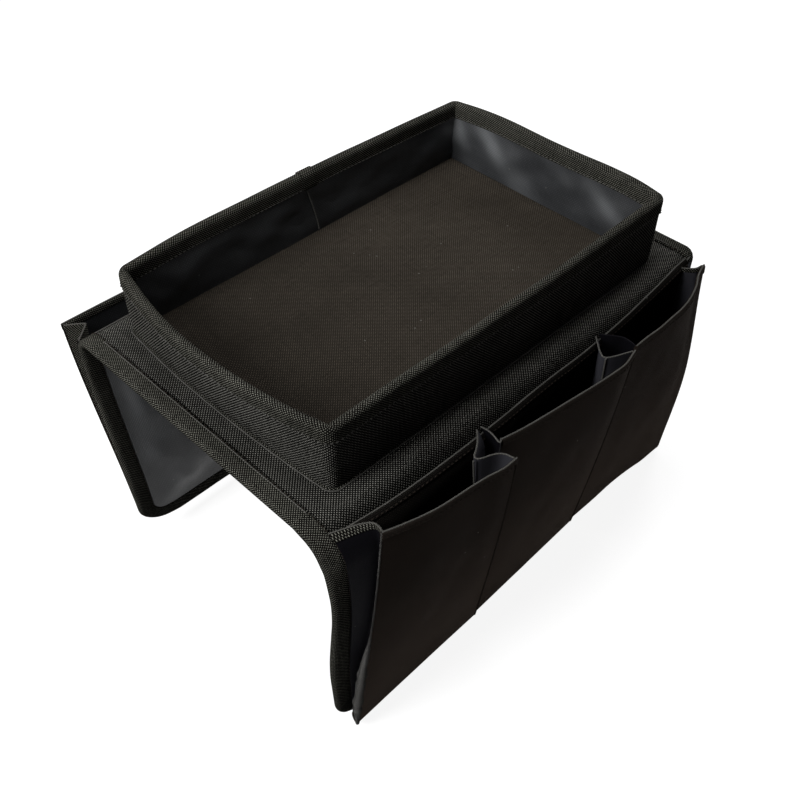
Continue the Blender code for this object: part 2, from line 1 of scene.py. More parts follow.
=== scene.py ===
"""Looks of the sofa armrest organizer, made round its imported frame: cloth, tape, thread and light.

X runs across the arm, with the three-pocket flap at +X. Y runs along the arm, front at -Y.
Z is up. Sizes are in metres, in the frame's own coordinates.
"""

import math
from dataclasses import dataclass

import bmesh
import bpy
import numpy as np
from mathutils import Matrix, Vector


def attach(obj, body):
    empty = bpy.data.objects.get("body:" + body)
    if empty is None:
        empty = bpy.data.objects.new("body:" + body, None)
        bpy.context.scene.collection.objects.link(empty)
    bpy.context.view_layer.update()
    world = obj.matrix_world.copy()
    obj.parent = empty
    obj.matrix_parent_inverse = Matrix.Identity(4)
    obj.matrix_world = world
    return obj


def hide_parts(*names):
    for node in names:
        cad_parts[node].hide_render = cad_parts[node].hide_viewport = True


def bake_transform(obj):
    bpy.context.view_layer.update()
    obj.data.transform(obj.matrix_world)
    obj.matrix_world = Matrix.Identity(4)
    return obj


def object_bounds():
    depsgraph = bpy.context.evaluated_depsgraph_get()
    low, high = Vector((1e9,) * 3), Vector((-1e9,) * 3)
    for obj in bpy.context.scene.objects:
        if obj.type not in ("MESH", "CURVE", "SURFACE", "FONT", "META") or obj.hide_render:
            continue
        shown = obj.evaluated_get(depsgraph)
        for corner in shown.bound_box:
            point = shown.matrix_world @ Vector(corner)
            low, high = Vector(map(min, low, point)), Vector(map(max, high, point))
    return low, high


bl_info = {
    "name": "Sofa armrest organizer",
    "version": (1, 0, 0),
    "blender": (4, 5, 0),
    "location": "3D View > Sidebar > Organizer",
    "description": "Dresses the frame of a sofa armrest organizer in woven cloth, tape and thread",
    "category": "Object",
}

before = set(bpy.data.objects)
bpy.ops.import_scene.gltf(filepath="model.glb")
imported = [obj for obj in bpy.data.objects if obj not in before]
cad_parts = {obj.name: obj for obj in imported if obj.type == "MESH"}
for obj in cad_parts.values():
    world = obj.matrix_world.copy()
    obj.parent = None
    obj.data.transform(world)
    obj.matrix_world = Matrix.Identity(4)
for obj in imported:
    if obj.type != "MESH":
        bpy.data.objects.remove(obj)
frame_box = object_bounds()

# Between layers that touch, the tapes as they are cut, and the end tapes' thread
CLOSE = 0.0001
BINDING_CORD = 0.0004

# Layers of the panel and the flaps
COVER = 0.001
PADDING = 0.002
LINING = 0.001
POCKET_CLOTH = 0.0009
TAPE = 0.0008
GAP = 0.0003
BOUND_STACK = COVER + GAP + PADDING
TOP = BOUND_STACK + GAP + LINING
WRAP = GAP + TAPE

# Panel
PANEL_LENGTH = 0.362
HALF_LENGTH = PANEL_LENGTH / 2
HALF_FLAT = 0.097
FLAP_CORNER = 0.022
BINDING_WIDTH = 0.012
SHEET_HALF = HALF_LENGTH - WRAP
BINDING_LEG = BINDING_WIDTH - WRAP
LINING_EDGE = BINDING_LEG + GAP

# Tray
TRAY_HALF_X = 0.0955
TRAY_HALF_Y = 0.150
TRAY_CORNER = 0.0048
TRAY_BASE = TOP + GAP
TRAY_RIM = TOP + 0.0495
WALL_BOARD = 0.002
WALL = COVER + GAP + WALL_BOARD + GAP + LINING
FLOOR_TOP = TRAY_BASE + 0.0033
RIM_TAPE_WIDTH = 0.011

# Pockets
BACKING_TOP = 0.024
FRONT_FOOT_LIFT = 0.0035
HEM_WIDTH = 0.004
HEM_TAPE = 0.0005
EDGE_CORD = 0.00055
SEAM_SPACING = 0.0035
BACKING_OUT = GAP + POCKET_CLOTH
SEAT_OUT = BACKING_OUT + GAP
FRONT_OUT = SEAT_OUT + POCKET_CLOTH
PLEAT_OUT = SEAT_OUT + 0.0005 + POCKET_CLOTH / 2
HEM_STITCHES = HEM_WIDTH - 0.0010
FOLD_CORD = 0.0006
PLAIN_PLEAT = ((0.5, 0.011), (0.6, 0.011))


@dataclass(frozen=True)
class Pocket:
    """How one pocket's front hangs, each pair at its front end and at its back end.

    mouth is how far its mouth stands off the flap, at even steps from front to back. foot is
    how far its foot does, drop how far it hangs below its seam, belly how much it swells
    halfway up, and draw how far its mouth's corner is drawn in. sag is how far the middle of
    the mouth dips, and waist how far the back edge goes in, at even steps from foot to mouth.
    pleats are the fold lines of its two sides at the mouth, each as a share of the way from
    flap to front and how deep it lies. bound tells which of its sides end in the woven tape,
    corded which have a bright edge at the mouth, and inside what each side is finished with.
    """

    mouth: tuple
    foot: tuple
    drop: tuple
    belly: tuple
    draw: tuple
    sag: float = 0.0
    waist: tuple = (0.0, 0.0)
    pleats: tuple = (PLAIN_PLEAT, PLAIN_PLEAT)
    bound: tuple = (True, True)
    corded: tuple = (True, True)
    # The back side's default finish is painted light: a lighter copy of the pleat cloth.
    inside: tuple = ("pleat_cloth", "pleat_lining")


@dataclass(frozen=True)
class Flap:
    """One side's fold, hang and pockets, each pair at the front and at the back of the arm.

    hem is how far along the cloth the backing starts, at even steps from front to back. pinch
    is how far the fold's back corner is drawn in, slump how far its front edge sags inward
    at even steps along the cloth, and tuck how far its lower front corner is lifted.
    hem_finish is what the mouths' tapes are finished with, pleat_tape the tape's width on a
    pleat, and fold_start and fold_end where the cloth's bend begins and ends; fold_start and
    fold_end are not used.
    """

    side: str
    sign: int
    cloth: float
    run: tuple
    radius: tuple
    sway: tuple
    strip: tuple
    mouth_drop: float
    flare: float
    rounded_ends: bool
    fold_start: tuple
    fold_end: tuple
    hem: tuple
    pinch: float = 0.0
    slump: tuple = (0.0, 0.0)
    tuck: float = 0.0
    hem_finish: str = "hem_cloth"
    pleat_tape: float = 0.005
    pockets: tuple = ()


RIGHT = Flap(
    side="right",
    sign=1,
    cloth=0.206,
    run=(0.0096, 0.0120),
    radius=(0.022, 0.0055),
    pinch=0.0040,
    slump=(0.0, 0.0045, 0.0067, 0.0035, 0.0008, 0.0003, 0.0013, 0.0024, 0.0032, 0.0030, 0.0014,
           0.0, 0.0),
    sway=(0.005, 0.001),
    strip=(0.009, 0.005),
    mouth_drop=0.0005,
    flare=0.9,
    rounded_ends=False,
    fold_start=(0.101, 0, TOP),
    fold_end=(0.115, 0, -0.0005),
    hem=(0.0195, 0.0232, 0.0243, 0.0240, 0.0228, 0.0230, 0.0210, 0.0174, 0.0130),
    pockets=(
        Pocket(
            (0.0035, 0.0079, 0.0116, 0.0144, 0.0163, 0.0179, 0.0200, 0.0228, 0.0231),
            (0.005, 0.008), (0.008, 0.002), (0.001, 0.001), (0.0204, 0.0005),
            bound=(True, False),
            pleats=(
                ((0.33, -0.006), (0.58, 0.0012), (0.88, 0.0012)),
                ((0.02, 0.0065), (0.33, 0.0195), (0.6, 0.002)),
            ),
        ),
        Pocket(
            (0.0077, 0.0114, 0.0141, 0.0165, 0.0189, 0.0212, 0.0232, 0.0244, 0.0217),
            (0.006, 0.006), (0.002, 0.002), (0.001, 0.001), (0.0005, -0.0065),
            bound=(False, False),
            pleats=(
                ((0.4, -0.0005), (1.25, -0.004)),
                ((0.33, 0.0105), (0.62, 0.0136)),
            ),
        ),
        Pocket(
            (0.0200, 0.0205, 0.0216, 0.0216, 0.0215, 0.0199, 0.0163, 0.0118, 0.0106),
            (0.0040, 0.0050, 0.0055, 0.0085, 0.0145), (0.002, 0.0075), (0.001, 0.0062),
            (0.0070, 0.0040),
            waist=(-0.0011, -0.0002, -0.0008, -0.0020, -0.0019, 0.0, 0.0013, 0.0008, -0.0026),
            bound=(False, True),
            corded=(False, True),
            pleats=(
                ((0.4, 0.0010), (0.7, 0.0012)),
                ((0.06, 0.0143), (0.65, 0.009), (0.95, 0.0055)),
            ),
        ),
    ),
)
LEFT = Flap(
    side="left",
    sign=-1,
    cloth=0.1938,
    run=(0.0070, 0.0070),
    radius=(0.012, 0.012),
    sway=(0.022, 0.018),
    strip=(0.0008, 0.015),
    mouth_drop=0.005,
    flare=1.6,
    rounded_ends=True,
    fold_start=(-0.101, 0, TOP),
    fold_end=(-0.1145, 0, -0.0013),
    hem=(0.0197, 0.0197),
    tuck=0.0055,
    hem_finish="edge_tape",
    pleat_tape=0.2,
    pockets=(
        Pocket((0.0195, 0.019), (0.0020, 0.005), (0.0015, 0.002), (0.002, 0.003), (0.0005, 0.003)),
        Pocket((0.018, 0.014), (0.005, 0.004), (0.002, 0.0015), (0.003, 0.002), (0.003, 0.004)),
    ),
)


# Shapes worked out from the panel's own measures


def between(pair, share):
    """The value at a share of the way from the first to the second."""
    return pair[0] + (pair[1] - pair[0]) * share


def mix(pair, y):
    """The value at y of what goes evenly from front to back along the arm."""
    return between(pair, (np.asarray(y, float) + HALF_LENGTH) / PANEL_LENGTH)


def ease(share):
    """0 to 1 with a level start and end."""
    share = np.clip(share, 0, 1)
    return share * share * (3 - 2 * share)


def through(values, share):
    """A smooth line through values at even steps: a cubic from each to the next."""
    values = np.asarray(values, float)
    slopes = np.gradient(values)
    at = np.clip(share, 0, 1) * (len(values) - 1)
    k = np.minimum(np.asarray(at).astype(int), len(values) - 2)
    t = at - k
    bend = (2 * t**3 - 3 * t**2 + 1) * values[k] + (3 * t**2 - 2 * t**3) * values[k + 1]
    return bend + (t**3 - 2 * t**2 + t) * slopes[k] + (t**3 - t**2) * slopes[k + 1]


def soft_noise(u, v, cell, seed):
    """Smooth random heights from -1 to 1: a lattice of random numbers, eased between its knots."""
    table = np.random.RandomState(seed).uniform(-1, 1, (64, 64))
    u, v = np.broadcast_arrays(np.asarray(u, float) / cell, np.asarray(v, float) / cell)
    iu, iv = np.floor(u).astype(int), np.floor(v).astype(int)
    fu, fv = ease(u - iu), ease(v - iv)
    a, b = table[iu % 64, iv % 64], table[(iu + 1) % 64, iv % 64]
    c, d = table[iu % 64, (iv + 1) % 64], table[(iu + 1) % 64, (iv + 1) % 64]
    return (a + (b - a) * fu) * (1 - fv) + (c + (d - c) * fu) * fv


def crease(u, v, start, end, width):
    """A ridge of height 1 along the line from start to end, falling off as a bell of that width."""
    line = np.subtract(end, start)
    length = math.hypot(*line)
    along = ((u - start[0]) * line[0] + (v - start[1]) * line[1]) / length**2
    aside = ((u - start[0]) * line[1] - (v - start[1]) * line[0]) / length
    inside = np.clip(along, 0, 1)
    past = (along - inside) * length
    return np.exp(-(aside**2 + past**2) / width**2) * (0.4 + 0.6 * np.sin(math.pi * inside))


def run_at(flap, y):
    """How far the cloth runs on level past the panel's edge, less at its back corner."""
    return mix(flap.run, y) - flap.pinch * ease((np.asarray(y, float) - 0.148) / 0.033)


def slump_at(flap, along, y):
    """How far the cloth has sagged in at the arm's front, most of all at its very edge."""
    near = np.clip((-np.asarray(y, float) - 0.150) / 0.030, 0, 1) ** 2
    return near * through(flap.slump, along / flap.cloth)


def tuck_at(flap, y, low):
    """How far the cloth is lifted at its lower front corner; low is 0 higher up, 1 at its foot."""
    return flap.tuck * ease((-np.asarray(y, float) - 0.145) / 0.036) * ease(low)


def bent(flap, along, y, depth):
    """Points of the cloth that runs off the top panel, bends over the arm's edge and hangs.

    along is the way along the cloth from the flat panel's edge, and depth the way in from
    the cover's outer face, square to it. The bend is an arc. Below it the cloth sways inward.
    """
    along, y, depth = np.broadcast_arrays(along, y, depth)
    run, radius = run_at(flap, y), mix(flap.radius, y)
    arc = radius * math.pi / 2
    angle = np.clip((along - run) / radius, 0, math.pi / 2)
    hang = np.clip(along - run - arc, 0, None)
    length = flap.cloth - run - arc
    share = hang / length
    sway = mix(flap.sway, y)
    depth = depth + slump_at(flap, along, y)
    out = HALF_FLAT + np.minimum(along, run) + radius * np.sin(angle) - sway * ease(share)
    up = TOP - radius * (1 - np.cos(angle)) - hang
    up = up + tuck_at(flap, y, (share - 0.8) / 0.2)
    inside = np.clip(share, 0, 1)
    slope = sway * 6 * inside * (1 - inside) / length
    tilt = np.where(hang > 0, np.arctan(slope), 0)
    out = out - depth * np.sin(angle) * np.cos(tilt)
    up = up - depth * (np.cos(angle) - np.sin(tilt))
    return np.stack([flap.sign * out, y, up], axis=-1)


def foot_height(flap, y):
    """Height of the flap's lower edge."""
    run, radius = run_at(flap, y), mix(flap.radius, y)
    return TOP - radius - (flap.cloth - run - radius * math.pi / 2)


def wall_out(flap, y, height, off, straight=False):
    """How far out the hanging cloth's face is at a height, off it by so much."""
    run, radius = run_at(flap, y), mix(flap.radius, y)
    centre = TOP - radius
    if not straight:
        along = run + radius * math.pi / 2 + np.clip(centre - height, 0, None)
        off = off - slump_at(flap, along, y)
    share = (centre - height) / (centre - foot_height(flap, y))
    hanging = HALF_FLAT + run + radius + off - mix(flap.sway, y) * ease(share)
    if straight:
        return hanging
    rise = np.clip(height - centre, 0, radius)
    bend = HALF_FLAT + run + np.sqrt((radius + off) ** 2 - rise**2)
    return np.where(height > centre, bend, hanging)


def panel_relief(across, y):
    """How far the padded cloth stands out: a low crown between its bound edges, and soft dents.

    across is the way over the panel from its middle line, flaps included.
    """
    edge = np.clip((SHEET_HALF - np.abs(y)) / 0.02, 0, 1)
    crown = 0.0005 * ease(edge)
    dents = 0.00045 * soft_noise(across, y, 0.045, 3) + 0.0002 * soft_noise(across, y, 0.016, 4)
    return crown + dents * ease(edge) + 0.0012 * ease((y - 0.10) / 0.08)


def way_gone(points):
    """How far along a line of points each one is."""
    return np.concatenate([[0], np.cumsum(np.linalg.norm(np.diff(points, axis=0), axis=1))])


def tray_loop(inset, step=0.003):
    """Points round the tray so far in from its outer face, the way out at each, and the way gone.

    The outline is a rectangle with rounded corners. Every inset has the same number of points,
    so that loops at several insets join into one profile carried round.
    """
    half = np.array([TRAY_HALF_X, TRAY_HALF_Y]) - inset
    radius = max(TRAY_CORNER - inset, 0.0006)
    turn = np.linspace(0, math.pi / 2, 9)
    points, ways = [], []
    for corner in range(4):
        angle = corner * math.pi / 2 + turn
        side = np.array([1 if corner in (0, 3) else -1, 1 if corner in (0, 1) else -1])
        way = np.stack([np.cos(angle), np.sin(angle)], axis=1)
        points.append(side * (half - radius) + radius * way)
        ways.append(way)
        whole = 2 * (TRAY_HALF_X if corner in (0, 2) else TRAY_HALF_Y)
        straight = 2 * ((half[0] if corner in (0, 2) else half[1]) - radius)
        count = int(round(whole / step))
        going = np.array([-math.sin(angle[-1]), math.cos(angle[-1])])
        leg = np.arange(1, count)[:, None] * straight / count
        points.append(points[-1][-1] + going * leg)
        ways.append(np.repeat(way[-1:], count - 1, axis=0))
    points, ways = np.concatenate(points), np.concatenate(ways)
    return points, ways, way_gone(points)


def tray_give(points):
    """Points of the tray moved as its soft walls have given: bowed, and full at one corner.

    Each wall bows out along its length, most at the rim. The front wall leans out most. The
    rim stands a little higher at its back right corner.
    """
    x, y, z = points[..., 0], points[..., 1], points[..., 2]
    rise = np.clip((z - TRAY_BASE) / (TRAY_RIM - TRAY_BASE), 0, 1)
    way_x, way_y = x / TRAY_HALF_X, y / TRAY_HALF_Y
    from_peak = x + 0.005
    front_rim = 0.0144 * (1 - (from_peak / np.where(from_peak > 0, 0.1005, 0.0905)) ** 2)
    front_foot = 0.0048 * (1 - ((x + 0.010) / np.where(x > -0.010, 0.1055, 0.0855)) ** 2)
    front = np.clip(front_foot, 0, 1) * (1 - rise**0.8) + np.clip(front_rim, 0, 1) * rise**0.8
    back = through(
        (0.0010, 0.0053, 0.0073, 0.0078, 0.0078, 0.0074, 0.0072, 0.0056, 0.0008), (way_x + 1) / 2
    )
    left = through(
        (0.0004, 0.0043, 0.0061, 0.0062, 0.0054, 0.0047, 0.0029, 0.0013, 0.0), (way_y + 1) / 2
    )
    right = 0.0010 * (1 - way_y**2)
    near = np.exp(-((x + TRAY_HALF_X) ** 2 + (y + TRAY_HALF_Y) ** 2) / 0.018**2)
    full = 0.0012 * near * np.sin(math.pi * rise * 0.8 + 0.3)
    lift = 0.0005 * soft_noise(x, y, 0.05, 21) * rise
    lift = lift + 0.0030 * ease((way_x + 0.2) / 1.2) * ease(way_y) * rise
    moved_x = right * rise * ease((way_x - 0.78) / 0.12)
    moved_x = moved_x - left * rise * ease((-way_x - 0.78) / 0.12)
    moved_y = back * rise * ease((way_y - 0.80) / 0.12) - front * ease((-way_y - 0.80) / 0.12)
    return np.stack([x + moved_x - full, y + moved_y - 0.5 * full, z + lift], axis=-1)


# Meshes


def shell(near, far):
    """Points and quads of the closed sheet between two grids of points of the same size."""
    rows, columns = near.shape[:2]
    count = rows * columns
    index = np.arange(count).reshape(rows, columns)
    quads = np.stack([index[:-1, :-1], index[:-1, 1:], index[1:, 1:], index[1:, :-1]], axis=-1)
    quads = quads.reshape(-1, 4)
    rim = np.concatenate([index[0, :-1], index[:-1, -1], index[-1, :0:-1], index[:0:-1, 0]])
    after = np.roll(rim, -1)
    edge = np.stack([after, rim, rim + count, after + count], axis=-1)
    points = np.concatenate([near.reshape(-1, 3), far.reshape(-1, 3)])
    return points, np.concatenate([quads, quads[:, ::-1] + count, edge])


def tube(stations, closed):
    """Points and quads of a closed profile carried along stations, an array station by point."""
    count, sides = stations.shape[:2]
    index = np.arange(count * sides).reshape(count, sides)
    here, there = (index, np.roll(index, -1, axis=0)) if closed else (index[:-1], index[1:])
    quads = np.stack([here, np.roll(here, -1, 1), np.roll(there, -1, 1), there], axis=-1)
    quads = quads.reshape(-1, 4)
    if not closed:
        a = np.arange(sides // 2 - 1)
        cap = np.stack([a, sides - 1 - a, sides - 2 - a, a + 1], axis=-1)
        last = (count - 1) * sides
        quads = np.concatenate([quads, cap, cap[:, ::-1] + last])
    return stations.reshape(-1, 3), quads


def make_piece(name, points, quads, finish, uv, period=0.0):
    """A mesh object at the origin, its faces turned outward, with its cloth's own UV map.

    Where period is given, a face that closes a ring takes its far side one period further on.
    """
    mesh = bpy.data.meshes.new(name)
    mesh.vertices.add(len(points))
    mesh.vertices.foreach_set("co", np.ascontiguousarray(points, np.float32).ravel())
    mesh.loops.add(quads.size)
    mesh.loops.foreach_set("vertex_index", np.ascontiguousarray(quads, np.int32).ravel())
    mesh.polygons.add(len(quads))
    mesh.polygons.foreach_set("loop_start", np.arange(0, quads.size, 4, dtype=np.int32))
    mesh.update(calc_edges=True)
    mesh.validate()
    place = np.asarray(uv, float)[quads.ravel()].reshape(-1, 4, 2)
    if period:
        wide = place[..., 0].max(axis=1) - place[..., 0].min(axis=1) > period / 2
        place[..., 0] += np.where(wide[:, None] & (place[..., 0] < period / 2), period, 0)
    layer = mesh.uv_layers.new(name="cloth")
    layer.data.foreach_set("uv", place.astype(np.float32).ravel())
    shape = bmesh.new()
    shape.from_mesh(mesh)
    bmesh.ops.recalc_face_normals(shape, faces=shape.faces)
    shape.to_mesh(mesh)
    shape.free()
    mesh.shade_smooth()
    mesh.set_sharp_from_angle(angle=math.radians(50))
    mesh.materials.append(bpy.data.materials[f"{finish}_finish"])
    made = bpy.data.objects.new(name, mesh)
    bpy.context.scene.collection.objects.link(made)
    return made


def cloth_uv(across, along):
    """The cloth's own UV map: two measures in metres at each point."""
    return np.stack(np.broadcast_arrays(across, along), axis=-1).reshape(-1, 2)


def sheet_piece(name, near, far, finish, across, along):
    """The closed sheet between two grids of points, with the same cloth measures on both."""
    return make_piece(name, *shell(near, far), finish, np.tile(cloth_uv(across, along), (2, 1)))


def tape_piece(name, stations, finish, across, along, period=0.0):
    """A profile carried along stations, closed to a ring where its period is given."""
    uv = cloth_uv(across, along)
    return make_piece(name, *tube(stations, period > 0), finish, uv, period)


def mark(piece, name, values):
    """Stores one number per point of a piece, for its finish to read."""
    layer = piece.data.attributes.new(name, "FLOAT", "POINT")
    layer.data.foreach_set("value", np.ascontiguousarray(values, np.float32).ravel())


def stitch_row(path, outward, length, spacing, radius):
    """Points and quads of a row of short stitches along a path.

    Each stitch is a thread from one needle hole to the next: it comes up, lies on the cloth
    and goes down again. path and outward are arrays of points and of directions off the cloth.
    """
    gone = way_gone(path)
    count = max(int(gone[-1] / spacing), 1)
    starts = (np.arange(count) + 0.5) * gone[-1] / count - length / 2
    share = np.array([0.0, 0.18, 0.82, 1.0])
    lift = np.array([-1.2, 0.5, 0.5, -1.2]) * radius
    size = np.array([0.6, 1.0, 1.0, 0.6]) * radius
    at = np.clip(starts[:, None] + share * length, 0, gone[-1])
    centre = np.stack([np.interp(at, gone, path[:, k]) for k in range(3)], axis=-1)
    up = np.stack([np.interp(at, gone, outward[:, k]) for k in range(3)], axis=-1)
    up /= np.linalg.norm(up, axis=-1, keepdims=True)
    going = centre[:, -1:] - centre[:, :1]
    going = going / np.linalg.norm(going, axis=-1, keepdims=True)
    aside = np.cross(going, up)
    centre = centre + up * lift[:, None]
    spoke = np.arange(6) * math.pi / 3
    ring = (
        aside[..., None, :] * np.cos(spoke)[:, None] + up[..., None, :] * np.sin(spoke)[:, None]
    )
    points = centre[..., None, :] + ring * size[None, :, None, None]
    index = np.arange(24).reshape(4, 6)
    here, there = index[:-1], index[1:]
    quads = np.stack([here, np.roll(here, -1, 1), np.roll(there, -1, 1), there], -1).reshape(-1, 4)
    caps = np.array([[0, 5, 4, 1], [1, 4, 3, 2]])
    quads = np.concatenate([quads, caps, caps[:, ::-1] + 18])
    quads = (quads[None] + 24 * np.arange(count)[:, None, None]).reshape(-1, 4)
    place = np.repeat(at[..., None], 6, axis=-1).reshape(-1)
    uv = np.stack([np.broadcast_to(spoke, points.shape[:-1]).reshape(-1) * radius, place], axis=1)
    return points.reshape(-1, 3), quads, uv


def join_rows(rows):
    """Several rows of stitches as one set of points, quads and UV."""
    points, quads, uvs, base = [], [], [], 0
    for p, q, uv in rows:
        points.append(p)
        quads.append(q + base)
        uvs.append(uv)
        base += len(p)
    return np.concatenate(points), np.concatenate(quads), np.concatenate(uvs)


def outward_of(grid_point, places, step=0.0004):
    """Directions off a surface at places (n by 2), from its slopes both ways."""
    u, v = places[:, 0], places[:, 1]
    a = grid_point(u + step, v) - grid_point(u - step, v)
    b = grid_point(u, v + step) - grid_point(u, v - step)
    square = np.cross(a, b)
    return square / np.linalg.norm(square, axis=1, keepdims=True)


# Finishes


class Tree:
    """Adds shader nodes to one tree and joins them."""

    def __init__(self, tree):
        self.tree = tree

    def join(self, value, socket):
        """Feeds a socket: a link from another socket, or a plain value."""
        if isinstance(value, bpy.types.NodeSocket):
            self.tree.links.new(value, socket)
        else:
            socket.default_value = value

    def add(self, kind, sockets=(), **settings):
        node = self.tree.nodes.new(kind)
        for key, value in settings.items():
            setattr(node, key, value)
        for key, value in dict(sockets).items():
            self.join(value, node.inputs[key])
        return node

    def maths(self, operation, a, b=0.5, c=0.5, clamp=False):
        node = self.add("ShaderNodeMath", {0: a, 1: b, 2: c}, operation=operation, use_clamp=clamp)
        return node.outputs[0]

    def scaled(self, vector, scale):
        node = self.add("ShaderNodeVectorMath", {0: vector, "Scale": scale}, operation="SCALE")
        return node.outputs[0]

    def tint(self, share, low, high):
        """A colour between low and high by share."""
        return self.add("ShaderNodeMix", {0: share, 6: low, 7: high}, data_type="RGBA").outputs[2]

    def noise(self, place, scale, detail=2.0, distortion=0.0):
        sockets = {"Vector": place, "Scale": scale, "Detail": detail, "Distortion": distortion}
        return self.add("ShaderNodeTexNoise", sockets).outputs["Fac"]

    def bump(self, height, strength, distance):
        sockets = {"Height": height, "Strength": strength, "Distance": distance}
        return self.add("ShaderNodeBump", sockets)

    def group(self, name, sockets):
        group = bpy.data.node_groups[name]
        return self.add("ShaderNodeGroup", sockets, node_tree=group).outputs


def new_group(name, inputs, outputs):
    """An empty shader group: a place and numbers go in, numbers come out."""
    group = bpy.data.node_groups.new(name, "ShaderNodeTree")
    socket = group.interface.new_socket
    socket(name="Vector", in_out="INPUT", socket_type="NodeSocketVector")
    for title, default in inputs.items():
        socket(name=title, in_out="INPUT", socket_type="NodeSocketFloat").default_value = default
    for title in outputs:
        socket(name=title, in_out="OUTPUT", socket_type="NodeSocketFloat")
    t = Tree(group)
    return t, t.add("NodeGroupInput").outputs, t.add("NodeGroupOutput").inputs


def weave_group():
    """Threads over and under each other: each crossing is an oval that rises where it is on top."""
    sizes = {"Spacing": 0.0008, "Roundness": 0.7}
    t, come, go = new_group("Woven threads", sizes, ("Height", "Over", "Tone"))
    threads = t.scaled(come["Vector"], t.maths("DIVIDE", 1.0, come["Spacing"]))
    axes = t.add("ShaderNodeSeparateXYZ", {0: threads}).outputs
    waves = [t.maths("SINE", t.maths("MULTIPLY", axes[k], math.pi)) for k in (0, 1)]
    over = t.maths("MULTIPLY_ADD", t.maths("MULTIPLY", *waves), 5.0, 0.5, True)
    sizes = [t.maths("ABSOLUTE", wave) for wave in waves]
    rounds = [t.maths("POWER", size, come["Roundness"]) for size in sizes]
    longs = [t.maths("MULTIPLY_ADD", size, 0.5, 0.5) for size in sizes]
    warp, weft = t.maths("MULTIPLY", rounds[0], longs[1]), t.maths("MULTIPLY", rounds[1], longs[0])
    rise = t.maths("MULTIPLY", t.maths("SUBTRACT", warp, weft), over)
    t.join(t.maths("ADD", rise, weft), go["Height"])
    t.join(over, go["Over"])
    tones = []
    for scale in ((0.9, 0.05, 1.0), (0.05, 0.9, 1.0)):
        slub = t.add("ShaderNodeMapping", {"Vector": threads, "Scale": scale}).outputs[0]
        tones.append(t.noise(slub, 1.0, 1.0))
    t.join(t.maths("ADD", *tones), go["Tone"])


def wear_group():
    """Handling: broad patches a little lighter or darker, and a few specks of lint."""
    t, come, go = new_group("Handled cloth", {"Patch size": 18.0}, ("Patches", "Lint"))
    place = come["Vector"]
    t.join(t.noise(place, come["Patch size"], 3.0), go["Patches"])
    specks = t.add("ShaderNodeTexVoronoi", {"Vector": place, "Scale": 130.0})
    small = t.maths("LESS_THAN", specks.outputs["Distance"], 0.085)
    rare = t.maths("GREATER_THAN", t.noise(place, 45.0), 0.62)
    t.join(t.maths("MULTIPLY", small, rare), go["Lint"])


def crumple_group():
    """Soft dents and finer crumples in a light cloth."""
    t, come, go = new_group("Crumpled cloth", {"Size": 24.0, "Fine share": 0.4}, ("Height",))
    place, size = come["Vector"], come["Size"]
    finer = {"Vector": place, "Scale": t.maths("MULTIPLY", size, 2.2)}
    fine = t.add("ShaderNodeTexVoronoi", finer, feature="SMOOTH_F1").outputs["Distance"]
    small = t.maths("MULTIPLY", fine, come["Fine share"])
    t.join(t.maths("ADD", t.noise(place, size, 2.0, 0.6), small), go["Height"])


def start_finish(name, roughness, level=0.3):
    """A new material, as its tree and its shader's sockets."""
    material = bpy.data.materials.new(name)
    material.use_nodes = True
    shader = material.node_tree.nodes["Principled BSDF"].inputs
    shader["Roughness"].default_value = roughness
    shader["Specular IOR Level"].default_value = level
    return Tree(material.node_tree), shader


def woven_finish(name, high, low, spacing, depth, roughness, level=0.0, crumple=0.0, under=0.4,
                 shade=None, painted_sheen=0.0):
    """Cloth woven of visible threads: light on each thread's crown, dark between the threads.

    under is how light the threads below are. shade is painted light and shade along one axis:
    the axis, two places and the share that the colour is scaled by at each, below 1 for painted
    shade and above 1 for painted light. The last argument is how much painted sheen lightens
    the cloth where the piece's own streaks are.
    """
    t, shader = start_finish(f"{name}_finish", roughness, level)
    cloth = t.add("ShaderNodeUVMap", uv_map="cloth").outputs[0]
    space = t.add("ShaderNodeTexCoord").outputs["Object"]
    weave = t.group("Woven threads", {"Vector": cloth, "Spacing": spacing})
    wear = t.group("Handled cloth", {"Vector": space})
    height = weave["Height"]
    lit = t.maths("MULTIPLY_ADD", weave["Over"], 1 - under, under)
    tone = t.maths("MULTIPLY", t.maths("POWER", height, 3.0), lit)
    tone = t.maths("MULTIPLY", tone, weave["Tone"])
    tone = t.maths("MULTIPLY", tone, t.maths("ADD", wear["Patches"], 0.5))
    colour = t.tint(tone, (*low, 1), (*high, 1))
    # Painted light and shade: the colour is scaled between two shares along one of the object's
    # axes.
    if shade:
        axis, start, end, first, last = shade
        place = t.add("ShaderNodeSeparateXYZ", {0: space}).outputs[axis]
        places = {0: place, 1: start, 2: end, 3: first, 4: last}
        share = t.add("ShaderNodeMapRange", places, interpolation_type="SMOOTHSTEP")
        colour = t.scaled(colour, share.outputs[0])
    # Painted sheen: where the piece's streaks are, the colour is lightened towards a pale grey, most
    # on the thread crowns.
    if painted_sheen:
        streaks = t.add("ShaderNodeAttribute", attribute_name="painted_sheen").outputs["Fac"]
        fine = t.maths("MULTIPLY_ADD", height, 0.7, 0.3)
        share = t.maths("MULTIPLY", t.maths("MULTIPLY", streaks, painted_sheen), fine, clamp=True)
        colour = t.tint(share, colour, (0.26, 0.27, 0.28, 1))
    lint = t.maths("MULTIPLY", wear["Lint"], 0.35)
    t.join(t.tint(lint, colour, (0.25, 0.24, 0.22, 1)), shader["Base Color"])
    rough = {0: height, 3: roughness + 0.1, 4: roughness - 0.08}
    t.join(t.add("ShaderNodeMapRange", rough).outputs[0], shader["Roughness"])
    bump = t.bump(height, 0.9, depth)
    if crumple:
        soft = t.group("Crumpled cloth", {"Vector": space, "Size": 20.0, "Fine share": 0.2})
        dents = t.bump(soft["Height"], 0.6, crumple)
        t.join(dents.outputs[0], bump.inputs["Normal"])
    t.join(bump.outputs[0], shader["Normal"])


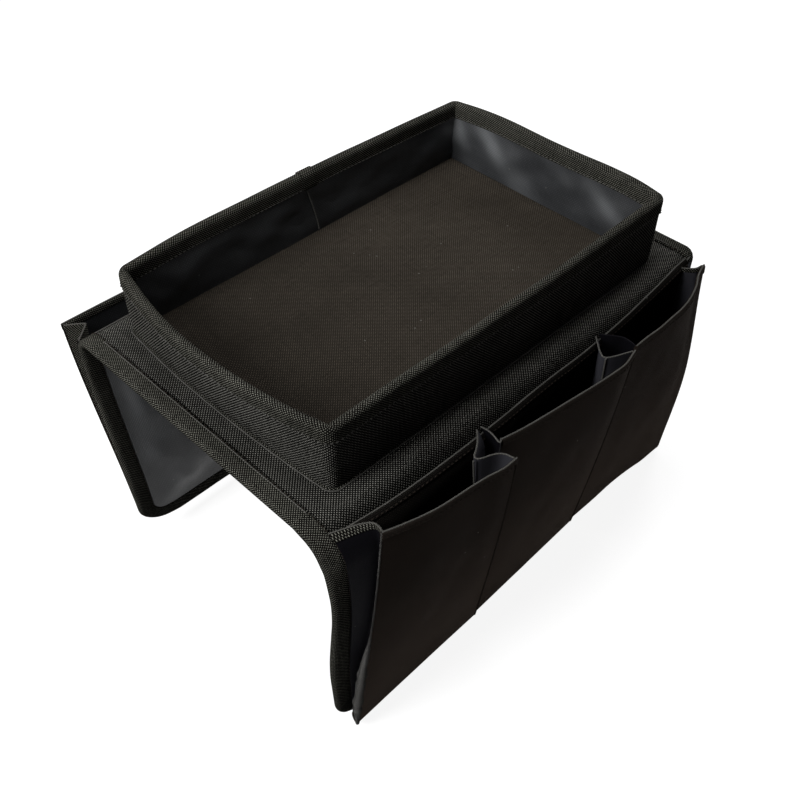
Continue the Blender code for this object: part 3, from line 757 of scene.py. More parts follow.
def plain_finish(name, colour, roughness, size, depth):
    """Foam or board, hidden inside: a fine grain in its colour and its surface."""
    t, shader = start_finish(f"{name}_finish", roughness)
    grain = t.noise(t.add("ShaderNodeTexCoord").outputs["Object"], size, 4.0)
    dark = (*(c * 0.8 for c in colour), 1)
    t.join(t.tint(grain, dark, (*colour, 1)), shader["Base Color"])
    t.join(t.bump(grain, 0.5, depth).outputs[0], shader["Normal"])


# Settings


def colour_setting(name, description, default):
    return bpy.props.FloatVectorProperty(
        name=name, description=description, default=default, subtype="COLOR", size=3, min=0, max=1
    )


def length_setting(name, description, default):
    return bpy.props.FloatProperty(
        name=name, description=description, default=default, unit="LENGTH", precision=5
    )


def angle_setting(name, description, degrees):
    return bpy.props.FloatProperty(
        name=name, description=description, default=math.radians(degrees), subtype="ANGLE"
    )


def power_setting(name, description, default):
    return bpy.props.FloatProperty(
        name=name, description=description, default=default, unit="POWER"
    )


class OrganizerCloth(bpy.types.PropertyGroup):
    """Colours and weaves of the cloths."""

    woven_high: colour_setting("Woven cloth, crowns", "Threads on top", (0.400, 0.393, 0.357))
    woven_low: colour_setting("Woven cloth, gaps", "Shade between threads", (0.0012,) * 3)
    woven_spacing: length_setting("Woven cloth, thread spacing", "From thread to thread", 0.00103)
    tape_high: colour_setting("Tape, crowns", "Threads on top", (0.360, 0.354, 0.304))
    tape_low: colour_setting("Tape, gaps", "Shade between threads", (0.0012, 0.0012, 0.0010))
    tape_spacing: length_setting("Tape, thread spacing", "From thread to thread", 0.00090)
    pocket_high: colour_setting("Pocket cloth, crowns", "Threads on top", (0.040, 0.0300, 0.0245))
    pocket_low: colour_setting("Pocket cloth, gaps", "Shade between threads", (0.021, 0.016, 0.013))
    pocket_spacing: length_setting("Pocket cloth, thread spacing", "From thread to thread", 0.0005)
    hem_high: colour_setting("Hems, crowns", "Threads on top", (0.044, 0.038, 0.033))
    pleat_high: colour_setting("Pleats, crowns", "Threads on top", (0.0072, 0.0066, 0.0088))
    pleat_low: colour_setting("Pleats, gaps", "Shade between threads", (0.0025, 0.0024, 0.0035))
    backing: colour_setting("Backing", "The cloth behind the pockets", (0.030, 0.027, 0.024))
    lining_high: colour_setting("Lining, crowns", "Threads on top", (0.074, 0.077, 0.081))
    lining_low: colour_setting("Lining, gaps", "Shade between threads", (0.020, 0.021, 0.023))
    lining_spacing: length_setting("Lining, thread spacing", "From thread to thread", 0.0011)
    floor_high: colour_setting("Tray floor, crowns", "Threads on top", (0.140, 0.118, 0.094))
    floor_low: colour_setting("Tray floor, gaps", "Shade between threads", (0.013, 0.0110, 0.0085))
    floor_spacing: length_setting("Tray floor, thread spacing", "From thread to thread", 0.00098)
    thread: colour_setting("Sewing thread", "Thread of every seam", (0.20, 0.195, 0.18))


class OrganizerSewing(bpy.types.PropertyGroup):
    """Sizes of the stitching."""

    stitch_length: length_setting("Stitch length", "From needle hole to needle hole", 0.0020)
    stitch_spacing: length_setting("Stitch spacing", "From one stitch to the next", 0.0034)
    thread_radius: length_setting("Thread radius", "Half the thread's thickness", 0.00036)
    edge_inset: length_setting("Edge inset", "From the tape's edge in to its seam", 0.0008)


class OrganizerStage(bpy.types.PropertyGroup):
    """Floor, lamps and camera."""

    camera_place: bpy.props.FloatVectorProperty(
        name="Camera place", description="Where the camera stands",
        default=(0.3652, -0.3717, 0.4229), subtype="TRANSLATION", unit="LENGTH",
    )
    azimuth: angle_setting("Azimuth", "Turn round the object", 44.62)
    elevation: angle_setting("Elevation", "Tilt above level", 44.93)
    roll: angle_setting("Roll", "Tilt sideways", 0.536)
    lens: bpy.props.FloatProperty(
        name="Lens", description="Focal length", default=44.46, subtype="DISTANCE_CAMERA"
    )
    key_power: power_setting("Key lamp", "Power of the lamp at the front left", 20.0)
    top_power: power_setting("Top lamp", "Power of the lamp above", 7.0)
    back_power: power_setting("Back lamp", "Power of the lamp at the back right", 6.0)
    room_light: bpy.props.FloatProperty(
        name="Room light", description="Light from all round", default=0.03, min=0, max=1
    )


# Operators


class ORGANIZER_OT_finishes(bpy.types.Operator):
    """Make the cloth, tape, foam, board and thread finishes"""

    bl_idname = "organizer.finishes"
    bl_label = "Finishes"

    def execute(self, context):
        cloth = context.scene.organizer_cloth
        weave_group()
        wear_group()
        crumple_group()
        # Painted shade: over the right side's bend, from x 0.104 to 0.119, the woven cloth darkens
        # to 0.22 of its colour, where it faces away from the lamps.
        crest_painted_shade = (0, 0.104, 0.119, 1.0, 0.22)
        # Painted light and shade: the pocket cloth's colour is scaled from 3.1 at its foot to 0.76
        # towards its mouth, along z from -0.190 to -0.03.
        foot = (2, -0.190, -0.03, 3.1, 0.76)
        woven_finish("woven_black", cloth.woven_high, cloth.woven_low, cloth.woven_spacing,
                     0.0006, 0.85, crumple=0.0010, under=0.05, shade=crest_painted_shade)
        woven_finish("edge_tape", cloth.tape_high, cloth.tape_low, cloth.tape_spacing,
                     0.0006, 0.85, under=0.05)
        woven_finish("frayed_edge", (0.80, 0.78, 0.74), (0.02, 0.02, 0.02), 0.0010,
                     0.0006, 0.85, under=0.05)
        woven_finish("pocket_cloth", cloth.pocket_high, cloth.pocket_low, cloth.pocket_spacing,
                     0.00012, 0.85, level=0.02, crumple=0.0012, shade=foot)
        woven_finish("hem_cloth", cloth.hem_high, cloth.pocket_low, cloth.woven_spacing * 0.8,
                     0.0003, 0.85, level=0.02, crumple=0.0012)
        woven_finish("backing_cloth", cloth.backing, tuple(c * 0.2 for c in cloth.backing),
                     cloth.tape_spacing, 0.0003, 0.9)
        woven_finish("pleat_cloth", cloth.pleat_high, cloth.pleat_low, cloth.pocket_spacing,
                     0.00012, 0.7, level=0.03, crumple=0.0012)
        # Painted light: a lighter, bluish copy of the pleat cloth for the back gussets, whose faces
        # turn to the front lamp.
        woven_finish("pleat_lining", (0.085, 0.085, 0.098), (0.040, 0.040, 0.048),
                     cloth.pocket_spacing, 0.00012, 0.7, level=0.03, crumple=0.0012)
        woven_finish("coated_grey", cloth.lining_high, cloth.lining_low, cloth.lining_spacing,
                     0.00010, 0.38, level=0.30, crumple=0.0016, under=0.5, painted_sheen=0.6)
        # Painted shade and light: the tray floor's colour is scaled from 0.80 at the front, in the
        # front wall's shade, to 1.20 at the back.
        woven_finish("floor_cloth", cloth.floor_high, cloth.floor_low, cloth.floor_spacing,
                     0.0003, 0.7, level=0.03, under=0.2, shade=(1, -0.15, 0.15, 0.80, 1.20))
        woven_finish("sewing_thread", cloth.thread, tuple(c * 0.5 for c in cloth.thread),
                     0.0004, 0.0002, 0.8, level=0.05)
        woven_finish("piping_thread", cloth.thread, tuple(c * 0.3 for c in cloth.thread),
                     0.0009, 0.0002, 0.8, level=0.05)
        plain_finish("foam_padding", (0.60, 0.60, 0.58), 0.9, 900.0, 0.0003)
        plain_finish("stiffener_board", (0.55, 0.55, 0.53), 0.6, 300.0, 0.0001)
        return {"FINISHED"}


def dress(piece, slot, *nodes, body=None):
    """Hides the nodes that a piece stands for and attaches it to its body. slot is not used."""
    if nodes:
        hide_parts(*nodes)
    if body:
        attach(piece, body)
    return piece


def top_point(x, y, depth):
    """Points of the top panel, depth down from its upper face, with the padded relief."""
    x, y, depth = np.broadcast_arrays(x, y, depth)
    return np.stack([x, y, TOP - depth + panel_relief(x, y)], axis=-1)


def side_point(flap, along, y, depth):
    """Points of one side's cloth with the padded relief, continuous with the top panel's."""
    relief = panel_relief(flap.sign * (HALF_FLAT + along), y)
    return bent(flap, along, y, depth - relief)


def sheet_rows(flap, short, step=0.0022):
    """Places along a side's cloth: even, with more of them round the lower corners."""
    end = flap.cloth - WRAP - short
    corner = FLAP_CORNER - WRAP - short
    plain = np.linspace(0, end - corner, int((end - corner) / step))
    turn = np.linspace(0, math.pi / 2, 17)[1:]
    return np.concatenate([plain, end - corner * (1 - np.sin(turn))]), corner, end


def side_grid(flap, short, columns=150):
    """Places (along, y) that fill one side's sheet, its lower corners rounded."""
    rows, corner, end = sheet_rows(flap, short)
    left = np.clip(corner - (end - rows), 0, corner)
    half = SHEET_HALF - short - corner + np.sqrt(np.maximum(corner**2 - left**2, 0))
    across = np.linspace(-1, 1, columns + 1)
    y = across[None, :] * half[:, None]
    return np.broadcast_to(rows[:, None], y.shape), y


def tape_profile(stack, leg, tape=TAPE, round_steps=9):
    """A tape folded round a cloth edge: inset from the edge and depth, outside and then inside."""
    wrap = GAP + tape
    thick = stack + 2 * wrap
    radius = thick / 2
    turn = np.linspace(0, math.pi, round_steps)
    legs = np.linspace(leg, radius - wrap, 7)[:-1]
    thin = -wrap + 0.0005 * ease(1 - (leg - legs) / 0.0012)
    outer_in = np.concatenate([legs, radius - wrap - radius * np.sin(turn), legs[::-1]])
    middle = stack / 2
    outer_depth = np.concatenate([thin, middle - radius * np.cos(turn), stack - thin[::-1]])
    inner = radius - tape
    inner_in = np.concatenate([legs, radius - wrap - inner * np.sin(turn), legs[::-1]])
    low = np.full(len(legs), -GAP)
    inner_depth = np.concatenate([low, middle - inner * np.cos(turn), stack - low])
    inset = np.concatenate([outer_in, inner_in[::-1]])
    depth = np.concatenate([outer_depth, inner_depth[::-1]])
    gone = way_gone(np.stack([outer_in, outer_depth], axis=1))
    return inset, depth, np.concatenate([gone, gone[::-1]])


def side_route(flap, step=0.0022):
    """Places (along, y) round a side's three edges, and the way into the sheet at each."""
    corner = FLAP_CORNER - WRAP
    end = flap.cloth - WRAP
    down = np.linspace(0, end - corner, int((end - corner) / step))
    turn = np.linspace(0, math.pi / 2, 19)
    wide = SHEET_HALF - corner
    across = np.linspace(-wide, wide, int(2 * wide / step))[1:-1]
    way = np.stack([-np.sin(turn), np.cos(turn)], axis=1)
    round_off = np.stack([end - corner - corner * way[:, 0], -wide - corner * way[:, 1]], axis=1)
    edge = np.stack([down[:-1], np.full(len(down) - 1, -SHEET_HALF)], axis=1)
    first = np.concatenate([edge, round_off])
    first_ways = np.concatenate([np.tile([0.0, 1.0], (len(edge), 1)), way])
    foot = np.stack([np.full(len(across), end), across], axis=1)
    places = np.concatenate([first, foot, first[::-1] * [1, -1]])
    ways = np.concatenate(
        [first_ways, np.tile([-1.0, 0.0], (len(across), 1)), first_ways[::-1] * [1, -1]]
    )
    return places, ways, way_gone(places)


def fold_with(piece):
    """Bakes the piece's transform into its mesh; its shape already bends from the panel to the flap.
    """
    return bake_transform(piece)


LAYERS = (
    ("cover_cloth", "woven_black", 0, COVER, 0, ("cover", "fold_cover", "flap_cover")),
    ("foam", "foam_padding", COVER + CLOSE, BOUND_STACK, 0, ("padding", "flap_padding")),
    ("lining_cloth", "coated_grey", TOP - LINING, TOP, LINING_EDGE,
     ("lining", "fold_lining", "flap_lining")),
)


class ORGANIZER_OT_top_panel(bpy.types.Operator):
    """Make the top panel's cover, foam, lining and end tapes"""

    bl_idname = "organizer.top_panel"
    bl_label = "Top panel"

    def execute(self, context):
        x = np.linspace(-HALF_FLAT, HALF_FLAT, 91)[:, None]
        for name, slot, outer, inner, short, nodes in LAYERS:
            half = SHEET_HALF - short
            y = np.linspace(-half, half, 171)[None, :]
            near, far = top_point(x, y, outer), top_point(x, y, inner)
            if slot == "coated_grey":
                far = np.stack(np.broadcast_arrays(x, y, 0.0), axis=-1)
                far[..., 2] += 0.0003 * (1 + soft_noise(x, y, 0.03, 5)) / 2
            piece = sheet_piece(f"top_{name}", near, far, slot, y, x)
            dress(piece, slot, f"top_{nodes[0]}", body="base")
        inset, depth, gone = tape_profile(BOUND_STACK, BINDING_LEG)
        x = x[:, 0]
        for node, side in (("front_binding", -1), ("back_binding", 1)):
            y = side * (SHEET_HALF - inset)
            stations = top_point(x[:, None], np.clip(y, -SHEET_HALF, SHEET_HALF)[None, :], depth)
            stations[..., 1] = y
            piece = tape_piece(f"{node}_tape", stations, "edge_tape", x[:, None], gone[None, :])
            dress(piece, "edge_tape", node, body="base")
            line = np.full_like(x, side * (SHEET_HALF - BINDING_LEG + 0.0016))
            cord(f"{node}_thread", top_point(x, line, -WRAP), BINDING_CORD, "base")
        return {"FINISHED"}


class ORGANIZER_OT_flaps(bpy.types.Operator):
    """Make each side's cover, foam, lining and edge tape, from the top panel round the bend"""

    bl_idname = "organizer.flaps"
    bl_label = "Flaps"

    def execute(self, context):
        for flap in (RIGHT, LEFT):
            self.layers(flap)
            self.tape(flap)
        return {"FINISHED"}

    def layers(self, flap):
        """Cover, foam and lining of one side, from the fold to the lower edge."""
        side = flap.side
        for name, slot, outer, inner, short, nodes in LAYERS:
            along, y = side_grid(flap, short)
            near = side_point(flap, along, y, outer)
            if slot == "coated_grey":
                inner = TOP + self.slack(flap, along, y)
            far = side_point(flap, along, y, inner)
            across = flap.sign * (HALF_FLAT + along)
            piece = sheet_piece(f"{side}_{name}", near, far, slot, y, across)
            dress(piece, slot, *(f"{side}_{node}" for node in nodes[1:]))
            if slot == "coated_grey":
                mark(piece, "painted_sheen", np.tile(self.streaks(along, y).ravel(), 2))
            fold_with(piece)

    def streaks(self, along, y):
        """Painted sheen on the lining: faint lighter patches, and painted highlights along four
        short folds.
        """
        streaks = 0.5 * np.clip(soft_noise(along + 0.5 * y, 0.35 * y, 0.022, 9), 0, 1)
        for start, end in (
            ((0.060, -0.160), (0.090, -0.157)), ((0.100, -0.122), (0.130, -0.124)),
            ((0.150, -0.150), (0.172, -0.140)), ((0.128, -0.092), (0.150, -0.088)),
        ):
            streaks = streaks + 0.6 * crease(along, y, start, end, 0.004)
        return streaks

    def slack(self, flap, along, y):
        """How far the lining stands off the foam: soft crumples, none along its sewn edge."""
        inside = ease((SHEET_HALF - LINING_EDGE - np.abs(y)) / 0.02)
        inside = inside * ease((flap.cloth - LINING_EDGE - along) / 0.02) * ease(along / 0.04)
        dents = 0.0026 * soft_noise(along + 0.6 * y, y, 0.036, 7)
        dents = dents + 0.0011 * soft_noise(along - 0.7 * y, y + 0.3 * along, 0.017, 8)
        return inside * (0.0018 + dents)

    def tape(self, flap):
        side = flap.side
        places, ways, gone_along = side_route(flap)
        inset, depth, gone_across = tape_profile(BOUND_STACK, BINDING_LEG)
        reach = places[:, None, :] + ways[:, None, :] * inset[None, :, None]
        reach_y = np.clip(reach[..., 1], -SHEET_HALF, SHEET_HALF)
        relief = panel_relief(flap.sign * (HALF_FLAT + reach[..., 0]), reach_y)
        stations = bent(flap, reach[..., 0], reach[..., 1], depth[None, :] - relief)
        piece = tape_piece(f"{side}_edge_tape", stations, "edge_tape", gone_along[:, None],
                           gone_across[None, :])
        names = ("fold_front_binding", "fold_back_binding", "flap_binding")
        dress(piece, "edge_tape", *(f"{side}_{name}" for name in names))
        fold_with(piece)


def cord(name, path, radius, body=None, finish="piping_thread"):
    """A round thread along a path of points: a tape's bright fold, piping or a rolled edge."""
    going = np.gradient(path, axis=0)
    going /= np.linalg.norm(going, axis=1, keepdims=True)
    level = np.abs(going[:, 2:]).mean() < 0.7
    aside = np.cross(going, [0.0, 0.0, 1.0] if level else [1.0, 0.0, 0.0])
    aside /= np.maximum(np.linalg.norm(aside, axis=1, keepdims=True), 1e-9)
    above = np.cross(aside, going)
    spoke = np.arange(8) * math.pi / 4
    ring = aside[:, None] * np.cos(spoke)[:, None] + above[:, None] * np.sin(spoke)[:, None]
    stations = path[:, None] + np.broadcast_to(radius, len(path))[:, None, None] * ring
    girth = spoke[None, :] * np.max(radius)
    piece = tape_piece(name, stations, finish, way_gone(path)[:, None], girth)
    return dress(piece, "edge_tape", body=body)


def ring_of(inset, height):
    """A profile of insets and heights carried round the tray, given as the tray has given."""
    flat = np.stack([tray_loop(one)[0] for one in inset], axis=1)
    heights = np.broadcast_to(np.asarray(height)[None, :, None], (*flat.shape[:2], 1))
    return tray_give(np.concatenate([flat, heights], axis=2))


class ORGANIZER_OT_tray(bpy.types.Operator):
    """Make the tray's outer band, lining, rim tape, foot seam, floor cloth and stiffeners"""

    bl_idname = "organizer.tray"
    bl_label = "Tray"

    def execute(self, context):
        self.ways, self.gone = tray_loop(0.0)[1:]
        self.around = float(self.gone[-1]) + 0.003
        edge = TRAY_RIM - GAP - TAPE
        rise = np.linspace(0, 1, 22)
        height = TRAY_BASE + (edge - TRAY_BASE) * rise
        swell = 0.0004 * np.sin(math.pi * rise)
        self.band("tray_outer_cloth", "woven_black", height, -swell, COVER - swell,
                  "tray_outer_band")
        sag = 0.0003 * np.sin(math.pi * rise)
        self.band("tray_lining_cloth", "coated_grey", height, WALL - LINING + sag, WALL + sag,
                  "tray_lining_band")
        self.stiffeners(edge)
        self.rim(edge)
        self.foot()
        self.floor()
        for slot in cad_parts["tray_floor_board"].material_slots:
            slot.material = bpy.data.materials["stiffener_board_finish"]
        return {"FINISHED"}

    def finish_ring(self, name, slot, stations, across, node):
        """A tape or band that goes once round the tray."""
        gone = self.gone[:, None]
        piece = tape_piece(name, stations, slot, gone, across[None, :], self.around)
        return dress(piece, slot, node, body="base")

    def band(self, name, slot, height, outer, inner, node):
        """The outer or the lining band of the walls."""
        heights = np.concatenate([height, height[::-1]])
        stations = ring_of(np.concatenate([outer, inner[::-1]]), heights)
        if slot == "coated_grey":
            stations = self.crumple(stations, len(height))
        piece = self.finish_ring(name, slot, stations, heights, node)
        if slot == "coated_grey":
            mark(piece, "painted_sheen", self.painted_sheen(stations))

    def painted_sheen(self, stations):
        """Painted sheen on the tray's lining: painted highlights in streaks on the back wall, and
        faint ones all round.
        """
        x, y, z = stations[..., 0], stations[..., 1], stations[..., 2]
        back = ease((y - TRAY_HALF_Y + 0.02) / 0.01)
        streaks = 0
        for share, start, end, width in (
            (1.0, (-0.094, 0.052), (-0.079, 0.024), 0.0060),
            (1.0, (-0.076, 0.054), (-0.044, 0.024), 0.0065),
            (0.45, (-0.050, 0.030), (-0.010, 0.006), 0.0090),
            (0.8, (0.036, 0.038), (0.074, 0.020), 0.0060),
        ):
            streaks = streaks + share * crease(x, z, start, end, width)
        faint = np.clip(soft_noise(x + 1.2 * z + y, z, 0.022, 17), 0, 1)
        return back * streaks + 0.2 * faint

    def crumple(self, stations, count):
        """The lining's free face moved in and out by slack cloth."""
        gone = self.gone[:, None]
        height = stations[:, count:, 2]
        rise = np.clip((height - FLOOR_TOP) / (TRAY_RIM - RIM_TAPE_WIDTH - FLOOR_TOP), 0, 1)
        slack = np.sin(math.pi * rise) * (
            0.0019 * soft_noise(gone + 0.7 * height, height, 0.026, 11)
            + 0.0007 * soft_noise(gone - 0.8 * height, height, 0.012, 12)
        )
        way = np.concatenate([self.ways, np.zeros((len(self.ways), 1))], axis=1)
        stations = stations.copy()
        slack = slack + 0.0004 * np.sin(math.pi * rise)
        stations[:, count:] -= way[:, None, :] * slack[..., None]
        return stations

    def stiffeners(self, edge):
        """The four boards in the walls, bowed as the walls have bowed."""
        outer, inner = COVER + CLOSE, WALL - LINING - CLOSE
        level = np.linspace(TRAY_BASE, edge, 14)
        walls = (("front", 1, -1), ("back", 1, 1), ("left", 0, -1), ("right", 0, 1))
        for word, axis, side in walls:
            reach = (TRAY_HALF_Y if axis == 0 else TRAY_HALF_X) - 0.009
            place = np.linspace(-reach, reach, 60)[:, None]
            across, rise = np.broadcast_arrays(place, level[None, :])
            faces = []
            for inset in (outer, inner):
                off = np.full_like(across, side * ((TRAY_HALF_X, TRAY_HALF_Y)[axis] - inset))
                xy = (off, across) if axis == 0 else (across, off)
                faces.append(tray_give(np.stack([*xy, rise], axis=-1)))
            points, quads = shell(*faces)
            uv = np.stack([points[:, 0] + points[:, 2], points[:, 1]], axis=1)
            piece = make_piece(f"tray_{word}_stiffener", points, quads, "stiffener_board", uv)
            dress(piece, "stiffener_board", f"tray_{word}_board", body="base")

    def rim(self, edge):
        """The tape over the walls' top, and the lap where its two ends meet."""
        inset, depth, gone_across = tape_profile(WALL, RIM_TAPE_WIDTH)
        stations = ring_of(depth, edge - inset)
        piece = self.finish_ring(
            "tray_rim_tape", "edge_tape", stations, gone_across, "tray_rim_binding"
        )
        thick = depth + 0.0007 * np.sign(depth - WALL / 2)
        stations = ring_of(thick, edge - inset + 0.0006 * (inset < 0.0005))
        lap = stations[(stations[:, 0, 0] < -0.09) & (np.abs(stations[:, 0, 1] - 0.003) < 0.008)]
        piece = tape_piece("tray_rim_tape_lap", lap, "edge_tape", lap[..., 1], gone_across[None, :])
        dress(piece, "edge_tape", body="base")

    def foot(self):
        """The seam allowance round the tray's foot, and the piping along its outer edge."""
        out = np.array([0.0001, 0.0016, 0.0019, 0.0019, 0.0016, 0.0001])
        up = np.array([0.0001, 0.0001, 0.0003, 0.0005, 0.0007, 0.0008])
        stations = ring_of(-out, TRAY_BASE - 0.0001 + up)
        across = way_gone(np.stack([out, up], axis=1))
        self.finish_ring("tray_foot_seam", "edge_tape", stations, across, "tray_base_piping")
        path = ring_of(np.array([-0.0020]), np.array([TRAY_BASE + 0.0004]))[:, 0]
        path = np.concatenate([path, path[:1]])
        cord("tray_foot_piping", path, EDGE_CORD, "base")
        level = np.linspace(FLOOR_TOP, TRAY_RIM - RIM_TAPE_WIDTH + 0.001, 24)
        side = np.full_like(level, -TRAY_HALF_X + WALL + 0.0007)
        climb = (level - level[0]) / (level[-1] - level[0])
        seam = np.stack([side, 0.0060 - 0.0065 * climb**1.5, level], axis=-1)
        cord("tray_lining_seam", tray_give(seam), EDGE_CORD, "base")

    def floor(self):
        """The floor cloth, flat on its board, its edge turned down at the walls."""
        inside = WALL + 0.0002
        half_x, half_y = TRAY_HALF_X - inside, TRAY_HALF_Y - inside
        across = np.linspace(-1, 1, 81)
        x, y = np.meshgrid(across * half_x, np.linspace(-1, 1, 121) * half_y, indexing="ij")
        near_edge = np.minimum(half_x - np.abs(x), half_y - np.abs(y))
        height = 0.00025 * soft_noise(x, y, 0.05, 15) - 0.0008 * np.exp(-near_edge / 0.0015)
        near = tray_give(np.stack([x, y, np.full_like(x, TRAY_BASE)], axis=-1))
        far = near.copy()
        near[..., 2], far[..., 2] = FLOOR_TOP + height, FLOOR_TOP - 0.001
        piece = sheet_piece("tray_floor_lining", near, far, "floor_cloth", x, y)
        dress(piece, "woven_black", "tray_floor_cloth", body="base")


# Pockets


def strip_ends(flap):
    """Front and back end of the strip that the pockets are sewn on."""
    return flap.strip[0] - HALF_LENGTH, HALF_LENGTH - flap.strip[1]


def hem_line(flap, y):
    """How far along the cloth the pockets' backing starts."""
    low, high = strip_ends(flap)
    return through(flap.hem, (y - low) / (high - low))


def pocket_spans(flap):
    """Front and back end of each pocket's share of the strip."""
    ends = np.linspace(*strip_ends(flap), len(flap.pockets) + 1)
    return [(float(a), float(b)) for a, b in zip(ends, ends[1:])]


def front_foot(flap, span):
    """Height of the seam at a pocket's foot."""
    return float(foot_height(flap, (span[0] + span[1]) / 2)) + FRONT_FOOT_LIFT


def front_edge(flap):
    """Height of the pockets' mouths."""
    return TOP - flap.mouth_drop - GAP - HEM_TAPE


def rise_share(flap, span, height):
    """0 at a pocket's foot to 1 at its mouth."""
    foot = front_foot(flap, span)
    return np.clip((height - foot) / (TOP - flap.mouth_drop - foot), 0, 1)


def side_seams(flap, span, height):
    """Where a pocket's two sides are sewn down. Rounded ends follow the flap's lower corners."""
    low, high = span[0] + SEAM_SPACING / 2, span[1] - SEAM_SPACING / 2
    if not flap.rounded_ends:
        return np.full_like(height, low), np.full_like(height, high)
    left = np.clip(FLAP_CORNER - (height - foot_height(flap, low)), 0, FLAP_CORNER)
    half = HALF_LENGTH - FLAP_CORNER + np.sqrt(FLAP_CORNER**2 - left**2)
    return np.maximum(low, -half), np.minimum(high, half)


def front_edges(flap, span, pocket, height):
    """Front and back edge of a pocket's front, drawn in more and more towards the mouth."""
    rise = rise_share(flap, span, height)
    low, high = side_seams(flap, span, height)
    return low + pocket.draw[0] * rise, high - pocket.draw[1] * rise - through(pocket.waist, rise)


def pocket_opening(flap, pocket, share, rise):
    """How far a front stands off its seam's plane: more at the mouth, with a belly below it."""
    foot, mouth = through(pocket.foot, share), through(pocket.mouth, share)
    opening = foot + (mouth - foot) * rise**flap.flare
    return opening + between(pocket.belly, share) * np.sin(math.pi * rise)


def front_folds(flap, number, share, rise):
    """Small folds of a pocket's front, none at its sewn sides and few at its mouth."""
    seed = 31 + 7 * number + (0 if flap.sign > 0 else 50)
    window = np.sin(math.pi * np.clip(share, 0, 1)) ** 0.7 * np.sin(math.pi * (0.08 + 0.86 * rise))
    folds = 0.0016 * soft_noise(share * 0.115, rise * 0.16, 0.045, seed)
    folds = folds + 0.0007 * soft_noise(share * 0.115 + 0.05 * rise, rise * 0.17, 0.018, seed + 1)
    return window * folds


def front_point(flap, number, share, height, turn, thick, folded=True):
    """Points of a pocket's front: share 0 to 1 along it, and thick out from its inside.

    From the seam the cloth curls down and out as turn goes from -pi to 0, at the foot's height,
    and then stands up to the mouth.
    """
    span, pocket = pocket_spans(flap)[number], flap.pockets[number]
    height = np.asarray(height, float)
    rise = rise_share(flap, span, height)
    low, high = front_edges(flap, span, pocket, height)
    y = low + (high - low) * share
    foot = through(pocket.foot, share)
    drop = between(pocket.drop, share)
    out = wall_out(flap, y, height, FRONT_OUT, True) + pocket_opening(flap, pocket, share, rise)
    if folded:
        out = out + front_folds(flap, number, share, rise) * (np.asarray(turn) > -0.01)
    out = out - foot * (1 - np.cos(turn)) / 2 + thick * np.cos(turn)
    dip = pocket.sag * np.sin(math.pi * share) * rise**5
    up = height + (drop + thick) * np.sin(turn) - dip + tuck_at(flap, y, (0.2 - rise) / 0.2)
    out, y, up = np.broadcast_arrays(out, y, up)
    return np.stack([flap.sign * out, y, up], axis=-1)


def thicken(line, half):
    """Both sides of a folded strip whose rows of points (y, out) are its centre line."""
    legs = np.diff(line, axis=1)
    legs = legs / np.maximum(np.linalg.norm(legs, axis=2, keepdims=True), 1e-9)
    square = np.stack([-legs[..., 1], legs[..., 0]], axis=-1)
    before = np.concatenate([square[:, :1], square], axis=1)
    after = np.concatenate([square, square[:, -1:]], axis=1)
    miter = before + after
    aside = miter * (2 * half / np.maximum(np.sum(miter * miter, axis=2, keepdims=True), 1.2))
    return line + aside, line - aside


def cut_corners(line, times=2):
    """A line of points rounded by cutting its corners at a quarter and three quarters."""
    for _ in range(times):
        a, b = line[:, :-1], line[:, 1:]
        cut = np.stack([0.75 * a + 0.25 * b, 0.25 * a + 0.75 * b], axis=2)
        cut = cut.reshape(line.shape[0], -1, line.shape[2])
        line = np.concatenate([line[:, :1], cut[:, 1:-1], line[:, -1:]], axis=1)
    return line


def pleat_line(flap, number, end, height, turn):
    """A pleat's centre line, row by row: from its seam in to the folds, and out to the front."""
    span, pocket = pocket_spans(flap)[number], flap.pockets[number]
    way = 1 if end == 0 else -1
    rise = rise_share(flap, span, height)
    edges = front_edges(flap, span, pocket, height)
    edge = edges[end] + way * POCKET_CLOTH
    seam = side_seams(flap, span, height)[end]
    inner = way * np.maximum(way * edge, way * seam)
    share = (edge - edges[0]) / (edges[1] - edges[0])
    inside = wall_out(flap, edge, height, FRONT_OUT, True)
    at_wall = wall_out(flap, seam, height, PLEAT_OUT)
    upright = wall_out(flap, seam, height, PLEAT_OUT, True)
    at_front = inside + pocket_opening(flap, pocket, share, rise) - GAP - POCKET_CLOTH / 2
    depth = through(pocket.foot, share) / 2
    middle = inside + depth
    reach = (depth - 0.0006) * np.cos(turn)
    curled = rise == 0
    at_wall = np.where(curled, middle - reach, at_wall)
    at_front = np.where(curled, middle + reach, at_front)
    root = at_wall + (upright - at_wall) * ease((at_front - upright - 0.004) / 0.008)
    root = np.where(curled, at_wall, root)
    out, along = [at_wall], [np.where(curled, edge, seam)]
    for place, deep in pocket.pleats[end]:
        place = np.minimum(place, 1 + (place - 1) * rise) if place > 1 else place
        out.append(root + (at_front - root) * place)
        along.append(inner + way * deep * rise**1.3)
    out, along = np.stack([*out, at_front], axis=1), np.stack([*along, edge], axis=1)
    return np.stack([along, out], axis=-1)


